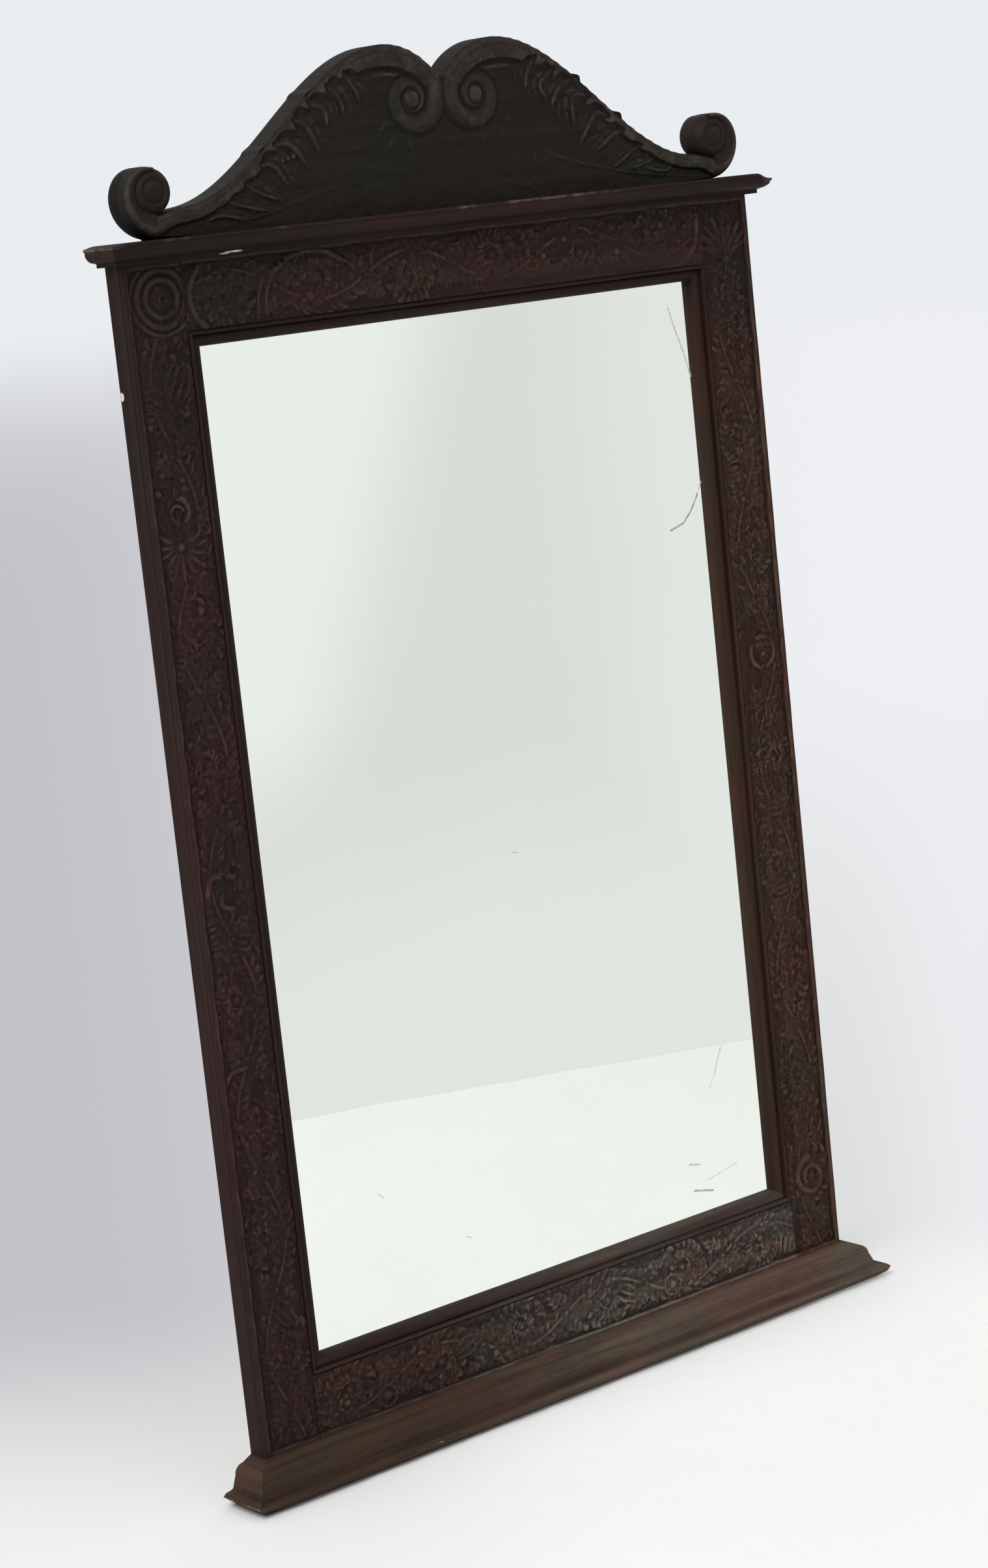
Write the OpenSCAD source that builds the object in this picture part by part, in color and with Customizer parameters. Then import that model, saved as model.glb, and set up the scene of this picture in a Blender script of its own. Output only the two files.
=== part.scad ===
// Carved wall mirror: a joined wooden frame with moulded sight edge, cornice, base and swan-neck pediment.
// The frame's own origin is the centre of the wall face, behind the middle of the plate.
// +X runs to the viewer's right, +Y into the wall and +Z up. Millimetres.

/* [Sight opening and plate] */
// Width of the glass seen between the stiles
sight_w = 563.5; // [420:0.5:760]
// Height of the glass seen between the rails
sight_h = 900; // [640:1:1200]
// Thickness of the mirror plate
plate_t = 4; // [3:0.5:6]
// Room left round the plate in its rebate
plate_fit = 1.5; // [0.5:0.25:3]

/* [Frame members] */
// Thickness of the stiles and rails
frame_t = 22.75; // [20:0.25:32]
// Width of a stile from its sight edge to its outer edge
stile_w = 75; // [64:1:110]
// Height of the top rail that shows between the sight edge and the cornice
frieze_h = 74.5; // [58:0.5:110]
// Height of the bottom rail that shows between the sight edge and the base
apron_h = 72; // [56:1:110]
// Depth of the rebate, measured from the back of the frame
rebate_d = 9.1; // [8:0.1:11]
// Width of the rebate behind the sight edge
rebate_w = 8; // [6:0.5:9]

/* [Sight moulding] */
// Width of the moulding worked along the sight edge
sight_mould_w = 14; // [13:0.5:18]
// Thickness of the lip in front of the plate
lip_t = 2; // [1.5:0.25:3]
// Radius of the round bead
bead_r = 4.6; // [3.5:0.1:5]
// Radius of the small ridge beside the carved field
ridge_r = 1.5; // [1:0.1:1.8]
// Height of the lip's upright edge under the bead
bead_rise = 3; // [2:0.25:4]
// Depth of the quirk between the bead and the small ridge, below the face
quirk_d = 6; // [4.5:0.25:7]

/* [Frame joints] */
// Thickness of a tenon
tenon_t = 8; // [6:0.5:10]
// Length of a tenon beyond its shoulder
tenon_l = 45; // [30:1:50]
// Height of wood left above and below a tenon
tenon_shoulder = 10; // [6:1:16]
// Play between a tenon and its mortise
tenon_fit = 0.2; // [0.1:0.05:0.4]
// Diameter of the pegs that hold the tenons
peg_d = 8; // [6:0.5:10]
// Distance from a shoulder line to its pegs
peg_inset = 24; // [16:1:28]
// Wood left between a peg's end and the front face
peg_cover = 5.5; // [4:0.5:8]
// Radial play round pegs and dowels
peg_fit = 0.05; // [0.02:0.01:0.1]

/* [Cornice] */
// Height of the cornice moulding
cornice_h = 18.5; // [16:0.5:28]
// Projection of the cornice from the frame
cornice_out = 23; // [20:1:34]
// Height of the thin fillet at the top
cornice_fillet = 3; // [2:0.5:5]
// Projection of the small step under the ovolo
cornice_step = 8; // [5:0.5:12]
// Height of the small step
cornice_step_h = 3.5; // [2:0.5:6]

/* [Base moulding] */
// Height of the base moulding
base_h = 40; // [36:1:52]
// Projection of the lip at the foot of the base
base_out = 35; // [30:1:44]
// Height of the lip's outer edge
base_lip = 10; // [6:0.5:12]
// Projection of the underside
base_foot = 23; // [16:0.5:28]
// Projection of the upright face over the lip
base_face = 22; // [18:0.5:26]
// Radius of the cove between the upright face and the lip
base_cove = 4; // [2:0.5:6]
// Radius of the round shoulder at the top of the base
base_round = 9; // [6:0.5:11]
// Fall of the top from the frame to the shoulder
base_fall = 5; // [2:0.5:8]

/* [Moulding nails] */
// Diameter of the headless nails that hold the mouldings
pin_d = 2; // [1.5:0.1:2.5]
// Length of a moulding nail
pin_l = 26; // [20:1:30]
// Depth of a moulding nail's end below the moulding's front
pin_sunk = 4; // [2:0.5:6]

/* [Pediment] */
// Thickness of the pediment board
pediment_t = 29; // [25:0.5:36]
// Height of the two humps above the cornice
hump_z = 146; // [110:1:190]
// Distance of each hump's crest from the centre line
hump_x = 62; // [45:1:80]
// Half the width of the notch between the humps
notch_half = 5; // [2:0.5:8]
// Height of the neck where the arm meets its scroll
neck_z = 24.5; // [18:0.5:30]
// Radius of the scroll that ends each arm
scroll_r = 28.5; // [25:0.5:34]
// Radius of the rounded rims of a scroll
scroll_round = 10; // [4:0.5:12]
// Distance from the frame's outer edge to a scroll's centre
scroll_inset = 37; // [32:1:50]
// Radius of the round eye that the scroll curls into
eye_r = 20.5; // [16:0.5:22]
// Amount the eye stands in front of the board
eye_proud = 2; // [0:0.5:3]
// Depth of the sunk ring round the eye
eye_sink = 15; // [8:0.5:18]
// Diameter of the dowels under the pediment
dowel_d = 8; // [6:0.5:10]
// Depth of a dowel in each of the two pieces it joins
dowel_l = 20; // [12:1:30]

/* [Back] */
// Thickness of the backboards
board_t = 6; // [5.9:0.1:9]
// Lap of the backboards on the frame beyond the rebate
board_lap = 12; // [10:0.5:16]
// Gap between neighbouring backboards
board_gap = 0.6; // [0.3:0.1:2]
// Distance of the nails from the edge of a backboard
nail_inset = 5.5; // [4:0.5:7]
// Diameter of a nail's shank
nail_d = 1.8; // [1.4:0.1:2.4]
// Diameter of a nail's flat head
nail_head_d = 4; // [3:0.25:5]
// Length of a nail
nail_l = 20; // [14:1:24]
// Number of nails along the top and along the bottom
end_nails = 4; // [3:1:6]
// Length of a softwood block behind the plate
block_l = 40; // [20:1:60]
// Width of a block at the plate
block_w = 6; // [4:0.5:8]

/* [Hangers] */
// Height of the hanger hinges above the centre of the plate
hanger_z = 300; // [150:5:380]
// Length of a hanger plate
hanger_l = 44; // [42:0.5:50]
// Height of a hanger plate
hanger_h = 12; // [10:0.5:14]
// Thickness of a hanger plate
hanger_t = 1.2; // [1:0.1:1.4]
// Diameter of the ring's wire
ring_d = 3; // [2.5:0.1:3.2]
// Radius of the ring's round end, at the middle of the wire
ring_r = 9.5; // [9:0.25:10]
// Length of the ring's straight sides
ring_side = 18; // [14:0.5:26]
// Radial play of the ring's bar in its knuckle
ring_fit = 0.08; // [0.05:0.01:0.1]
// Thickness of the knuckle's wall
knuckle_wall = 1.2; // [1:0.05:1.3]
// Diameter of a hanger screw's shank
screw_d = 3.2; // [2.5:0.1:4]
// Length of a hanger screw's shank
screw_l = 16; // [10:1:18]
// Diameter of a hanger screw's round head
screw_head_d = 6.5; // [5:0.25:7]

/* [Hidden] */
$fn = 48;
// Small overrun that keeps cutting tools from ending flush with what they cut
over = 1;
// Radial play of nails and screws in the wood
snug = 0.05;

// Planes across the thickness
back_y = -board_t;
face_y = back_y - frame_t;
plate_y = back_y - rebate_d;
lip_y = plate_y - lip_t;
pediment_face_y = back_y - pediment_t;

// Outlines of the joined frame
half_w = sight_w / 2 + stile_w;
top_z = sight_h / 2 + frieze_h + cornice_h;
cornice_z = top_z - cornice_h;
base_top_z = -sight_h / 2 - apron_h;
bottom_z = base_top_z - base_h;
shoulder_x = sight_w / 2 + sight_mould_w;
shoulder_z = sight_h / 2 + sight_mould_w;

// Tenons sit in the middle of the frame's thickness
tenon_y = (face_y + back_y) / 2;
top_tenon = [shoulder_z + tenon_shoulder, top_z - tenon_shoulder];
bottom_tenon = [bottom_z + tenon_shoulder, -shoulder_z - tenon_shoulder];
peg_x = shoulder_x + peg_inset;
function peg_zs(t) = [t[0] + (t[1] - t[0]) / 4, t[1] - (t[1] - t[0]) / 4];
peg_front_y = face_y + peg_cover;

// Dowels stand under the thick part of each arm, and moulding nails lie between them
dowel_xs = [-hump_x * 3, -hump_x, hump_x, hump_x * 3];
pin_xs = [-hump_x * 2, 0, hump_x * 2];

// Moulding nails pass through the fullest part of each section, clear of the tenons and dowels
cornice_pin_drop = 8.5;
cornice_pin_z = top_z - cornice_pin_drop;
cornice_pin_out = (cornice_step + cornice_out) / 2 - pin_sunk;
base_pin_z = bottom_z + base_h / 2 + base_cove / 2;
base_pin_out = base_face - pin_sunk;

// Scroll and eye of an arm: both rounds share their highest point
scroll_lift = 3;
eye_shift = 2;
neck_gap = 3;
scroll_x = half_w - scroll_inset;
scroll_z = scroll_r + scroll_lift;
eye_x = scroll_x - eye_shift;
eye_z = scroll_z + scroll_r - eye_r;
neck_x = eye_x - eye_r - neck_gap;

// Radius of a hump's inner side, which leans in towards the notch
hump_lean = 10;
hump_inner_r = hump_x + hump_lean;

// Backboards
board_w = sight_w + 2 * (rebate_w + board_lap);
boards_h = sight_h + 2 * (rebate_w + board_lap);
board_h = (boards_h - 2 * board_gap) / 3;
board_pitch = board_h + board_gap;
side_nail_zs = [for (b = [-1:1], k = [-1:1]) b * board_pitch + k * board_h / 3];
end_nail_xs = [for (k = [0:end_nails - 1]) (k - (end_nails - 1) / 2) * sight_w / end_nails];
nail_spots = concat(
    [for (s = [-1, 1], z = side_nail_zs) [s * (board_w / 2 - nail_inset), z]],
    [for (s = [-1, 1], x = end_nail_xs) [x, s * (boards_h / 2 - nail_inset)]]);
nail_head_t = 1;
block_room = rebate_d - plate_t;

// Hangers: the ring's bar lies over the plate with a little air under it
ring_air = 0.3;
hinge_y = back_y + hanger_t + ring_air + ring_d / 2;
knuckle_r = ring_d / 2 + ring_fit + knuckle_wall;
hanger_x = (board_w / 2 + half_w) / 2;
hanger_screw_x = hanger_l / 2 - hanger_h / 2;
knuckle_half = ring_r - ring_d / 2 - 0.2;
screw_head_t = 2;
slot_w = 0.9;
slot_d = 0.8;

frame_colour = "#4a2c24";
pediment_colour = "#2a201b";
moulding_colour = "#5b3a2e";
softwood_colour = "#a98a62";
iron_colour = "#4b4a48";
brass_colour = "#8f7140";

// Points along an arc of an ellipse, from angle a0 to a1
function arc(cx, cy, rx, ry, a0, a1, n) =
    [for (i = [0:n]) let (a = a0 + (a1 - a0) * i / n) [cx + rx * cos(a), cy + ry * sin(a)]];

// Extrudes a section drawn in (x, z) forward from the plane y, by depth
module forward(y, depth) {
    translate([0, y, 0]) rotate([90, 0, 0]) linear_extrude(depth) children();
}

// A round rod along Y from y0 forward to y1
module rod_y(x, z, d, y0, y1) {
    translate([x, y0, z]) rotate([90, 0, 0]) cylinder(d = d, h = y0 - y1);
}

// Section of the moulded strip along the sight edge: distance from the sight edge, then Y
module sight_section() {
    set_back = 0.4;
    bead_x = bead_r + set_back;
    bead_y = lip_y - bead_rise;
    ridge_x = sight_mould_w - ridge_r - 2 * set_back;
    quirk_y = face_y + quirk_d;
    polygon(concat(
        [[0, plate_y], [0, lip_y]],
        arc(bead_x, bead_y, bead_r, bead_r, 180, 270, 6),
        arc(bead_x, quirk_y, ridge_x - ridge_r - bead_x - set_back, bead_y - bead_r - quirk_y, 90, 0, 4),
        [[ridge_x - ridge_r, quirk_y]],
        arc(ridge_x, face_y + ridge_r + set_back, ridge_r, ridge_r, 180, 360, 8),
        [[ridge_x + ridge_r, face_y + quirk_d / 2], [sight_mould_w, face_y + quirk_d / 2],
         [sight_mould_w, back_y], [rebate_w, back_y], [rebate_w, plate_y]]));
}

// Moulded strip of a stile, mitred at both ends
module stile_strip() {
    intersection() {
        translate([sight_w / 2, 0, -sight_h]) linear_extrude(2 * sight_h) sight_section();
        forward(0, -2 * face_y) polygon([
            [sight_w / 2, -sight_h / 2], [shoulder_x + over, -shoulder_z - over],
            [shoulder_x + over, shoulder_z + over], [sight_w / 2, sight_h / 2]]);
    }
}

// Moulded strip of the top rail, mitred at both ends
module rail_strip() {
    intersection() {
        translate([sight_w, 0, sight_h / 2]) rotate([0, -90, 0]) linear_extrude(2 * sight_w)
            sight_section();
        forward(0, -2 * face_y) polygon([
            [-sight_w / 2, sight_h / 2], [-shoulder_x - over, shoulder_z + over],
            [shoulder_x + over, shoulder_z + over], [sight_w / 2, sight_h / 2]]);
    }
}

// Tenons of a rail, or their mortises with play all round
module tenons(t, play) {
    reach = tenon_l + (play > 0 ? over : 0);
    for (x = [shoulder_x - over, -shoulder_x - reach])
        translate([x, tenon_y - tenon_t / 2 - play, t[0] - play])
            cube([reach + over, tenon_t + 2 * play, t[1] - t[0] + 2 * play]);
}

module pegs(play) {
    for (s = [-1, 1], t = [top_tenon, bottom_tenon], z = peg_zs(t))
        rod_y(s * peg_x, z, peg_d + 2 * play, back_y + (play > 0 ? over : 0), peg_front_y - play);
}

module dowels(play) {
    for (x = dowel_xs)
        translate([x, tenon_y, top_z - dowel_l - play])
            cylinder(d = dowel_d + 2 * play, h = 2 * (dowel_l + play));
}

// A backboard nail: flat head in the board, shank in the frame
module nails(play) {
    for (p = nail_spots) {
        rod_y(p[0], p[1], nail_head_d + 2 * play, play > 0 ? over : 0, -nail_head_t - play);
        rod_y(p[0], p[1], nail_d + 2 * play, -nail_head_t, -nail_l - play);
    }
}

// Headless nails from each moulding into the frame: three along the front and one in each return
module pins(z, out, play) {
    for (x = pin_xs)
        rod_y(x, z, pin_d + 2 * play, face_y - out + pin_l + play, face_y - out - play);
    for (s = [-1, 1])
        translate([s * (half_w + out - pin_l / 2), tenon_y, z]) rotate([0, 90, 0])
            cylinder(d = pin_d + 2 * play, h = pin_l + 2 * play, center = true);
}

module cornice_pins(play) { pins(cornice_pin_z, cornice_pin_out, play); }

module base_pins(play) { pins(base_pin_z, base_pin_out, play); }

module hanger_screw_shanks(play) {
    for (s = [-1, 1], k = [-1, 1])
        rod_y(s * hanger_x + k * hanger_screw_x, hanger_z - hanger_h / 2, screw_d + 2 * play,
              back_y + hanger_t + (play > 0 ? over : 0), back_y - screw_l - play);
}

module stile(side) {
    color(frame_colour) difference() {
        mirror([side < 0 ? 1 : 0, 0, 0]) union() {
            translate([shoulder_x, face_y, bottom_z])
                cube([half_w - shoulder_x, frame_t, top_z - bottom_z]);
            stile_strip();
        }
        tenons(top_tenon, tenon_fit);
        tenons(bottom_tenon, tenon_fit);
        pegs(peg_fit);
        nails(snug);
        hanger_screw_shanks(snug);
        cornice_pins(snug);
        base_pins(snug);
    }
}

// Body of a rail between the shoulders, from z0 up to z1
module rail_body(z0, z1) {
    translate([-shoulder_x, face_y, z0]) cube([2 * shoulder_x, frame_t, z1 - z0]);
}

module left_stile() { stile(-1); }

module right_stile() { stile(1); }

module top_rail() {
    color(frame_colour) difference() {
        union() {
            rail_body(shoulder_z, top_z);
            rail_strip();
            tenons(top_tenon, 0);
        }
        pegs(peg_fit);
        nails(snug);
        dowels(peg_fit);
        cornice_pins(snug);
    }
}

module bottom_rail() {
    color(frame_colour) difference() {
        union() {
            rail_body(bottom_z, -shoulder_z);
            mirror([0, 0, 1]) rail_strip();
            tenons(bottom_tenon, 0);
        }
        pegs(peg_fit);
        nails(snug);
        base_pins(snug);
    }
}

module tenon_pegs() { color(softwood_colour) pegs(0); }

// Cornice section: projection from the frame, then height above its underside
module cornice_section() {
    ovolo_top = cornice_h - cornice_fillet;
    ovolo_foot = cornice_step_h + 1;
    ovolo_in = cornice_step + 4;
    fillet_in = 1.5;
    polygon(concat(
        [[0, 0], [cornice_step, 0], [cornice_step, cornice_step_h], [ovolo_in, ovolo_foot]],
        arc(ovolo_in, ovolo_top, cornice_out - fillet_in - ovolo_in, ovolo_top - ovolo_foot, -90, 0, 8),
        [[cornice_out, ovolo_top + fillet_in / 2], [cornice_out, cornice_h], [0, cornice_h]]));
}

// Base section: projection from the frame, then height above its underside
module base_section() {
    lip_in = 4;
    round_in = 3;
    round_x = base_face - round_in - base_round;
    round_z = base_h - base_fall - base_round;
    polygon(concat(
        [[0, 0], [base_foot, 0], [base_out - lip_in, base_lip / 2], [base_out, base_lip],
         [base_out - lip_in, base_lip + lip_in - 1]],
        arc(base_face + base_cove, base_lip + 2 * base_cove, base_cove, base_cove, 250, 180, 4),
        arc(round_x, round_z, base_round, base_round, 0, 90, 8),
        [[0, base_h]]));
}

// A moulding along the front of the frame, mitred at both ends. The child is its section.
module front_moulding(z, height, out) {
    ends = out + over;
    intersection() {
        translate([-half_w - ends, face_y, z]) rotate([90, 0, 90]) linear_extrude(2 * (half_w + ends))
            mirror([1, 0, 0]) children();
        translate([0, 0, z - over]) linear_extrude(height + 2 * over) polygon([
            [-half_w, face_y], [-half_w - ends, face_y - ends],
            [half_w + ends, face_y - ends], [half_w, face_y]]);
    }
}

// The short return of a moulding along one side of the frame
module return_moulding(side, z, height, out) {
    ends = out + over;
    mirror([side < 0 ? 1 : 0, 0, 0]) intersection() {
        translate([half_w, back_y, z]) rotate([90, 0, 0]) linear_extrude(frame_t + ends) children();
        translate([0, 0, z - over]) linear_extrude(height + 2 * over) polygon([
            [half_w, back_y + over], [half_w, face_y], [half_w + ends, face_y - ends],
            [half_w + ends, back_y + over]]);
    }
}

module cornice_front() {
    color(moulding_colour) difference() {
        front_moulding(cornice_z, cornice_h, cornice_out) cornice_section();
        cornice_pins(snug);
    }
}

module cornice_return(side) {
    color(moulding_colour) difference() {
        return_moulding(side, cornice_z, cornice_h, cornice_out) cornice_section();
        cornice_pins(snug);
    }
}

module cornice_left_return() { cornice_return(-1); }

module cornice_right_return() { cornice_return(1); }

module base_front() {
    color(moulding_colour) difference() {
        front_moulding(bottom_z, base_h, base_out) base_section();
        base_pins(snug);
    }
}

module base_return(side) {
    color(moulding_colour) difference() {
        return_moulding(side, bottom_z, base_h, base_out) base_section();
        base_pins(snug);
    }
}

module base_left_return() { base_return(-1); }

module base_right_return() { base_return(1); }

module moulding_nails() {
    color(iron_colour) {
        cornice_pins(0);
        base_pins(0);
    }
}

// Right half of the pediment's outline, from the notch out to the end of the arm under the scroll
function hump_inside(x) =
    hump_z - hump_inner_r + sqrt(pow(hump_inner_r, 2) - pow(hump_x - x, 2));
hump_steps = 8;
arm_steps = 28;
half_outline = concat(
    [[0, hump_inside(notch_half) - 2]],
    [for (i = [0:hump_steps]) let (x = notch_half + (hump_x - notch_half) * i / hump_steps)
        [x, hump_inside(x)]],
    [for (i = [1:arm_steps]) let (t = i / arm_steps)
        [hump_x + (neck_x - hump_x) * t, neck_z + (hump_z - neck_z) * (1 + cos(180 * t)) / 2]],
    [[eye_x - eye_r / 3, eye_z - eye_r + neck_gap], [scroll_x, scroll_z - scroll_r / 2], [scroll_x, 0]]);

module pediment_outline() {
    n = len(half_outline);
    polygon(concat(half_outline, [for (i = [n - 1:-1:1]) [-half_outline[i][0], half_outline[i][1]]]));
}

// A round block with rolled rims, standing along Y from y0 forward by depth
module roll(r, y0, depth) {
    rim = scroll_round;
    translate([0, y0, 0]) rotate([90, 0, 0]) rotate_extrude() polygon(concat(
        [[0, 0]], arc(r - rim, rim, rim, rim, -90, 0, 6), arc(r - rim, depth - rim, rim, rim, 0, 90, 6),
        [[0, depth]]));
}

// The scroll that ends an arm: a roll with a round eye sunk in a ring
module scroll() {
    difference() {
        translate([scroll_x, 0, scroll_z]) roll(scroll_r, back_y, pediment_t);
        translate([eye_x - 2 * scroll_r, back_y - pediment_t - over, 0])
            cube([2 * scroll_r, pediment_t + 2 * over, 2 * scroll_r + scroll_z]);
        rod_y(eye_x, eye_z, 2 * eye_r + 2, pediment_face_y + eye_sink, pediment_face_y - over);
    }
    translate([eye_x, 0, eye_z]) roll(eye_r, back_y, pediment_t + eye_proud);
}

module pediment() {
    color(pediment_colour) difference() {
        translate([0, 0, top_z]) {
            forward(back_y, pediment_t) pediment_outline();
            scroll();
            mirror([1, 0, 0]) scroll();
        }
        dowels(peg_fit);
    }
}

module pediment_dowels() { color(softwood_colour) dowels(0); }

module mirror_plate() {
    w = sight_w + 2 * (rebate_w - plate_fit);
    h = sight_h + 2 * (rebate_w - plate_fit);
    color("#dfe6e0") translate([-w / 2, plate_y, -h / 2]) cube([w, plate_t, h]);
}

// Small bevelled blocks rubbed into the rebate behind the plate
module block_section() {
    polygon([[0, 0], [block_w, 0], [block_w * 0.4, block_room], [0, block_room]]);
}

module glazing_blocks() {
    color(softwood_colour) {
        for (s = [-1, 1], k = [-1:1])
            mirror([s < 0 ? 1 : 0, 0, 0])
                translate([sight_w / 2 + rebate_w, plate_y + plate_t, k * sight_h / 3 - block_l / 2])
                    linear_extrude(block_l) mirror([1, 0, 0]) block_section();
        for (s = [-1, 1], k = [-1, 1])
            mirror([0, 0, s < 0 ? 1 : 0])
                translate([k * sight_w / 4 + block_l / 2, plate_y + plate_t, sight_h / 2 + rebate_w])
                    rotate([0, -90, 0]) linear_extrude(block_l) mirror([1, 0, 0]) block_section();
    }
}

// One of the three boards across the back: row -1 is the lowest
module backboard(row) {
    color(softwood_colour) difference() {
        translate([-board_w / 2, back_y, row * board_pitch - board_h / 2])
            cube([board_w, board_t, board_h]);
        nails(snug);
    }
}

module upper_backboard() { backboard(1); }

module middle_backboard() { backboard(0); }

module lower_backboard() { backboard(-1); }

module backboard_nails() { color(iron_colour) nails(0); }

// A plate with round ends, and a knuckle along its upper edge for the ring's bar
module hanger_plate(side) {
    color(brass_colour) translate([side * hanger_x, 0, hanger_z]) difference() {
        union() {
            translate([0, 0, -hanger_h / 2]) forward(back_y + hanger_t, hanger_t) {
                square([hanger_l - hanger_h, hanger_h], center = true);
                for (k = [-1, 1]) translate([k * hanger_screw_x, 0]) circle(d = hanger_h);
            }
            translate([-knuckle_half, hinge_y, 0]) rotate([0, 90, 0])
                cylinder(r = knuckle_r, h = 2 * knuckle_half);
        }
        translate([-knuckle_half - over, hinge_y, 0]) rotate([0, 90, 0])
            cylinder(d = ring_d + 2 * ring_fit, h = 2 * (knuckle_half + over));
        for (k = [-1, 1])
            rod_y(k * hanger_screw_x, -hanger_h / 2, screw_d + 2 * snug,
                  back_y + hanger_t + over, back_y - over);
    }
}

module left_hanger_plate() { hanger_plate(-1); }

module right_hanger_plate() { hanger_plate(1); }

// Round-headed slotted screws
module hanger_screws() {
    head_y = back_y + hanger_t;
    color(brass_colour) {
        hanger_screw_shanks(0);
        for (s = [-1, 1], k = [-1, 1])
            translate([s * hanger_x + k * hanger_screw_x, head_y, hanger_z - hanger_h / 2])
                rotate([-90, 0, 0]) difference() {
                    cylinder(d1 = screw_head_d, d2 = screw_head_d - 2, h = screw_head_t);
                    translate([0, 0, screw_head_t])
                        cube([screw_head_d + over, slot_w, 2 * slot_d], center = true);
                }
    }
}

// A D-shaped ring hanging from its bar
module hanger_ring(side) {
    color(brass_colour) translate([side * hanger_x, hinge_y, hanger_z]) union() {
        translate([-ring_r, 0, 0]) rotate([0, 90, 0]) cylinder(d = ring_d, h = 2 * ring_r);
        for (k = [-1, 1]) translate([k * ring_r, 0, 0]) {
            sphere(d = ring_d);
            translate([0, 0, -ring_side]) cylinder(d = ring_d, h = ring_side);
        }
        translate([0, 0, -ring_side]) rotate([90, 0, 0]) rotate([0, 0, 180])
            rotate_extrude(angle = 180) translate([ring_r, 0]) circle(d = ring_d);
    }
}

module left_hanger_ring() { hanger_ring(-1); }

module right_hanger_ring() { hanger_ring(1); }

left_stile();
right_stile();
top_rail();
bottom_rail();
tenon_pegs();
cornice_front();
cornice_left_return();
cornice_right_return();
base_front();
base_left_return();
base_right_return();
moulding_nails();
pediment();
pediment_dowels();
mirror_plate();
glazing_blocks();
upper_backboard();
middle_backboard();
lower_backboard();
backboard_nails();
left_hanger_plate();
right_hanger_plate();
hanger_screws();
left_hanger_ring();
right_hanger_ring();
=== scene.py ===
import math

import bmesh
import bpy
import numpy as np
from mathutils import Matrix, Vector


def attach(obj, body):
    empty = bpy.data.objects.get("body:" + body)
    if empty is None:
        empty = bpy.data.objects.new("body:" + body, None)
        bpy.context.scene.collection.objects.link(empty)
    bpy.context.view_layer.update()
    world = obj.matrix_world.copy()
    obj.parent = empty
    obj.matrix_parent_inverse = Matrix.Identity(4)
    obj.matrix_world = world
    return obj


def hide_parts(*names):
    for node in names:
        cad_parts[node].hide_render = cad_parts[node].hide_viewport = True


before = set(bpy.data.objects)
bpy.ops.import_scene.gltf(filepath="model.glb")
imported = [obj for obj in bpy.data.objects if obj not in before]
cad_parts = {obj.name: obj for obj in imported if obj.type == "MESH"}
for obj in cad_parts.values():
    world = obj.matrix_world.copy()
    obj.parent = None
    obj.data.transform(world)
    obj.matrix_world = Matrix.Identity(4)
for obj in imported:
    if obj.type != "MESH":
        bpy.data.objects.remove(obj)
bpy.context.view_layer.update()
bpy.context.scene.view_settings.view_transform = "Standard"

# The frame: two stiles and two rails of dark stained oak, tenoned together, with the moulded
# sight edge worked on the solid. The flat of each member is carved by hand with a running
# leaf scroll on a ground sunk about 2.6 mm below the face, and the whole is waxed and rubbed.

MM = 0.001
SIGHT_X, SIGHT_Z, SHOULDER = 281.75, 450.0, 14.0
HALF_W, TOP_Z, BOTTOM_Z = 356.75, 543.0, -562.0
FACE_Y, CUT_Y, BACK_Y = -28.75, -25.75, -6.0
SUNK = 2.6
EVEN = 0.55
BROAD = 4e-4


class Wire:
    """A value on its way between shader nodes. Arithmetic on it adds the Math nodes."""

    def __init__(self, finish, socket):
        self.finish, self.socket = finish, socket

    def maths(self, operation, *values):
        return self.finish.add("ShaderNodeMath", {"operation": operation}, dict(enumerate(values)))

    def at_least(self, other):
        return self.maths("MAXIMUM", self, other)

    def at_most(self, other):
        return self.maths("MINIMUM", self, other)

    def step(self, low, high):
        """0 below low, 1 above high, smooth between them."""
        settings = {"interpolation_type": "SMOOTHSTEP"}
        return self.finish.add("ShaderNodeMapRange", settings, {0: self, 1: low, 2: high})


# The arithmetic signs, each with its reflected form for a number on the left.
for sign, kind in (("add", "ADD"), ("sub", "SUBTRACT"), ("mul", "MULTIPLY"), ("truediv", "DIVIDE"),
                   ("pow", "POWER")):
    setattr(Wire, f"__{sign}__", lambda self, other, kind=kind: self.maths(kind, self, other))
    setattr(Wire, f"__r{sign}__", lambda self, other, kind=kind: self.maths(kind, other, self))


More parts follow.
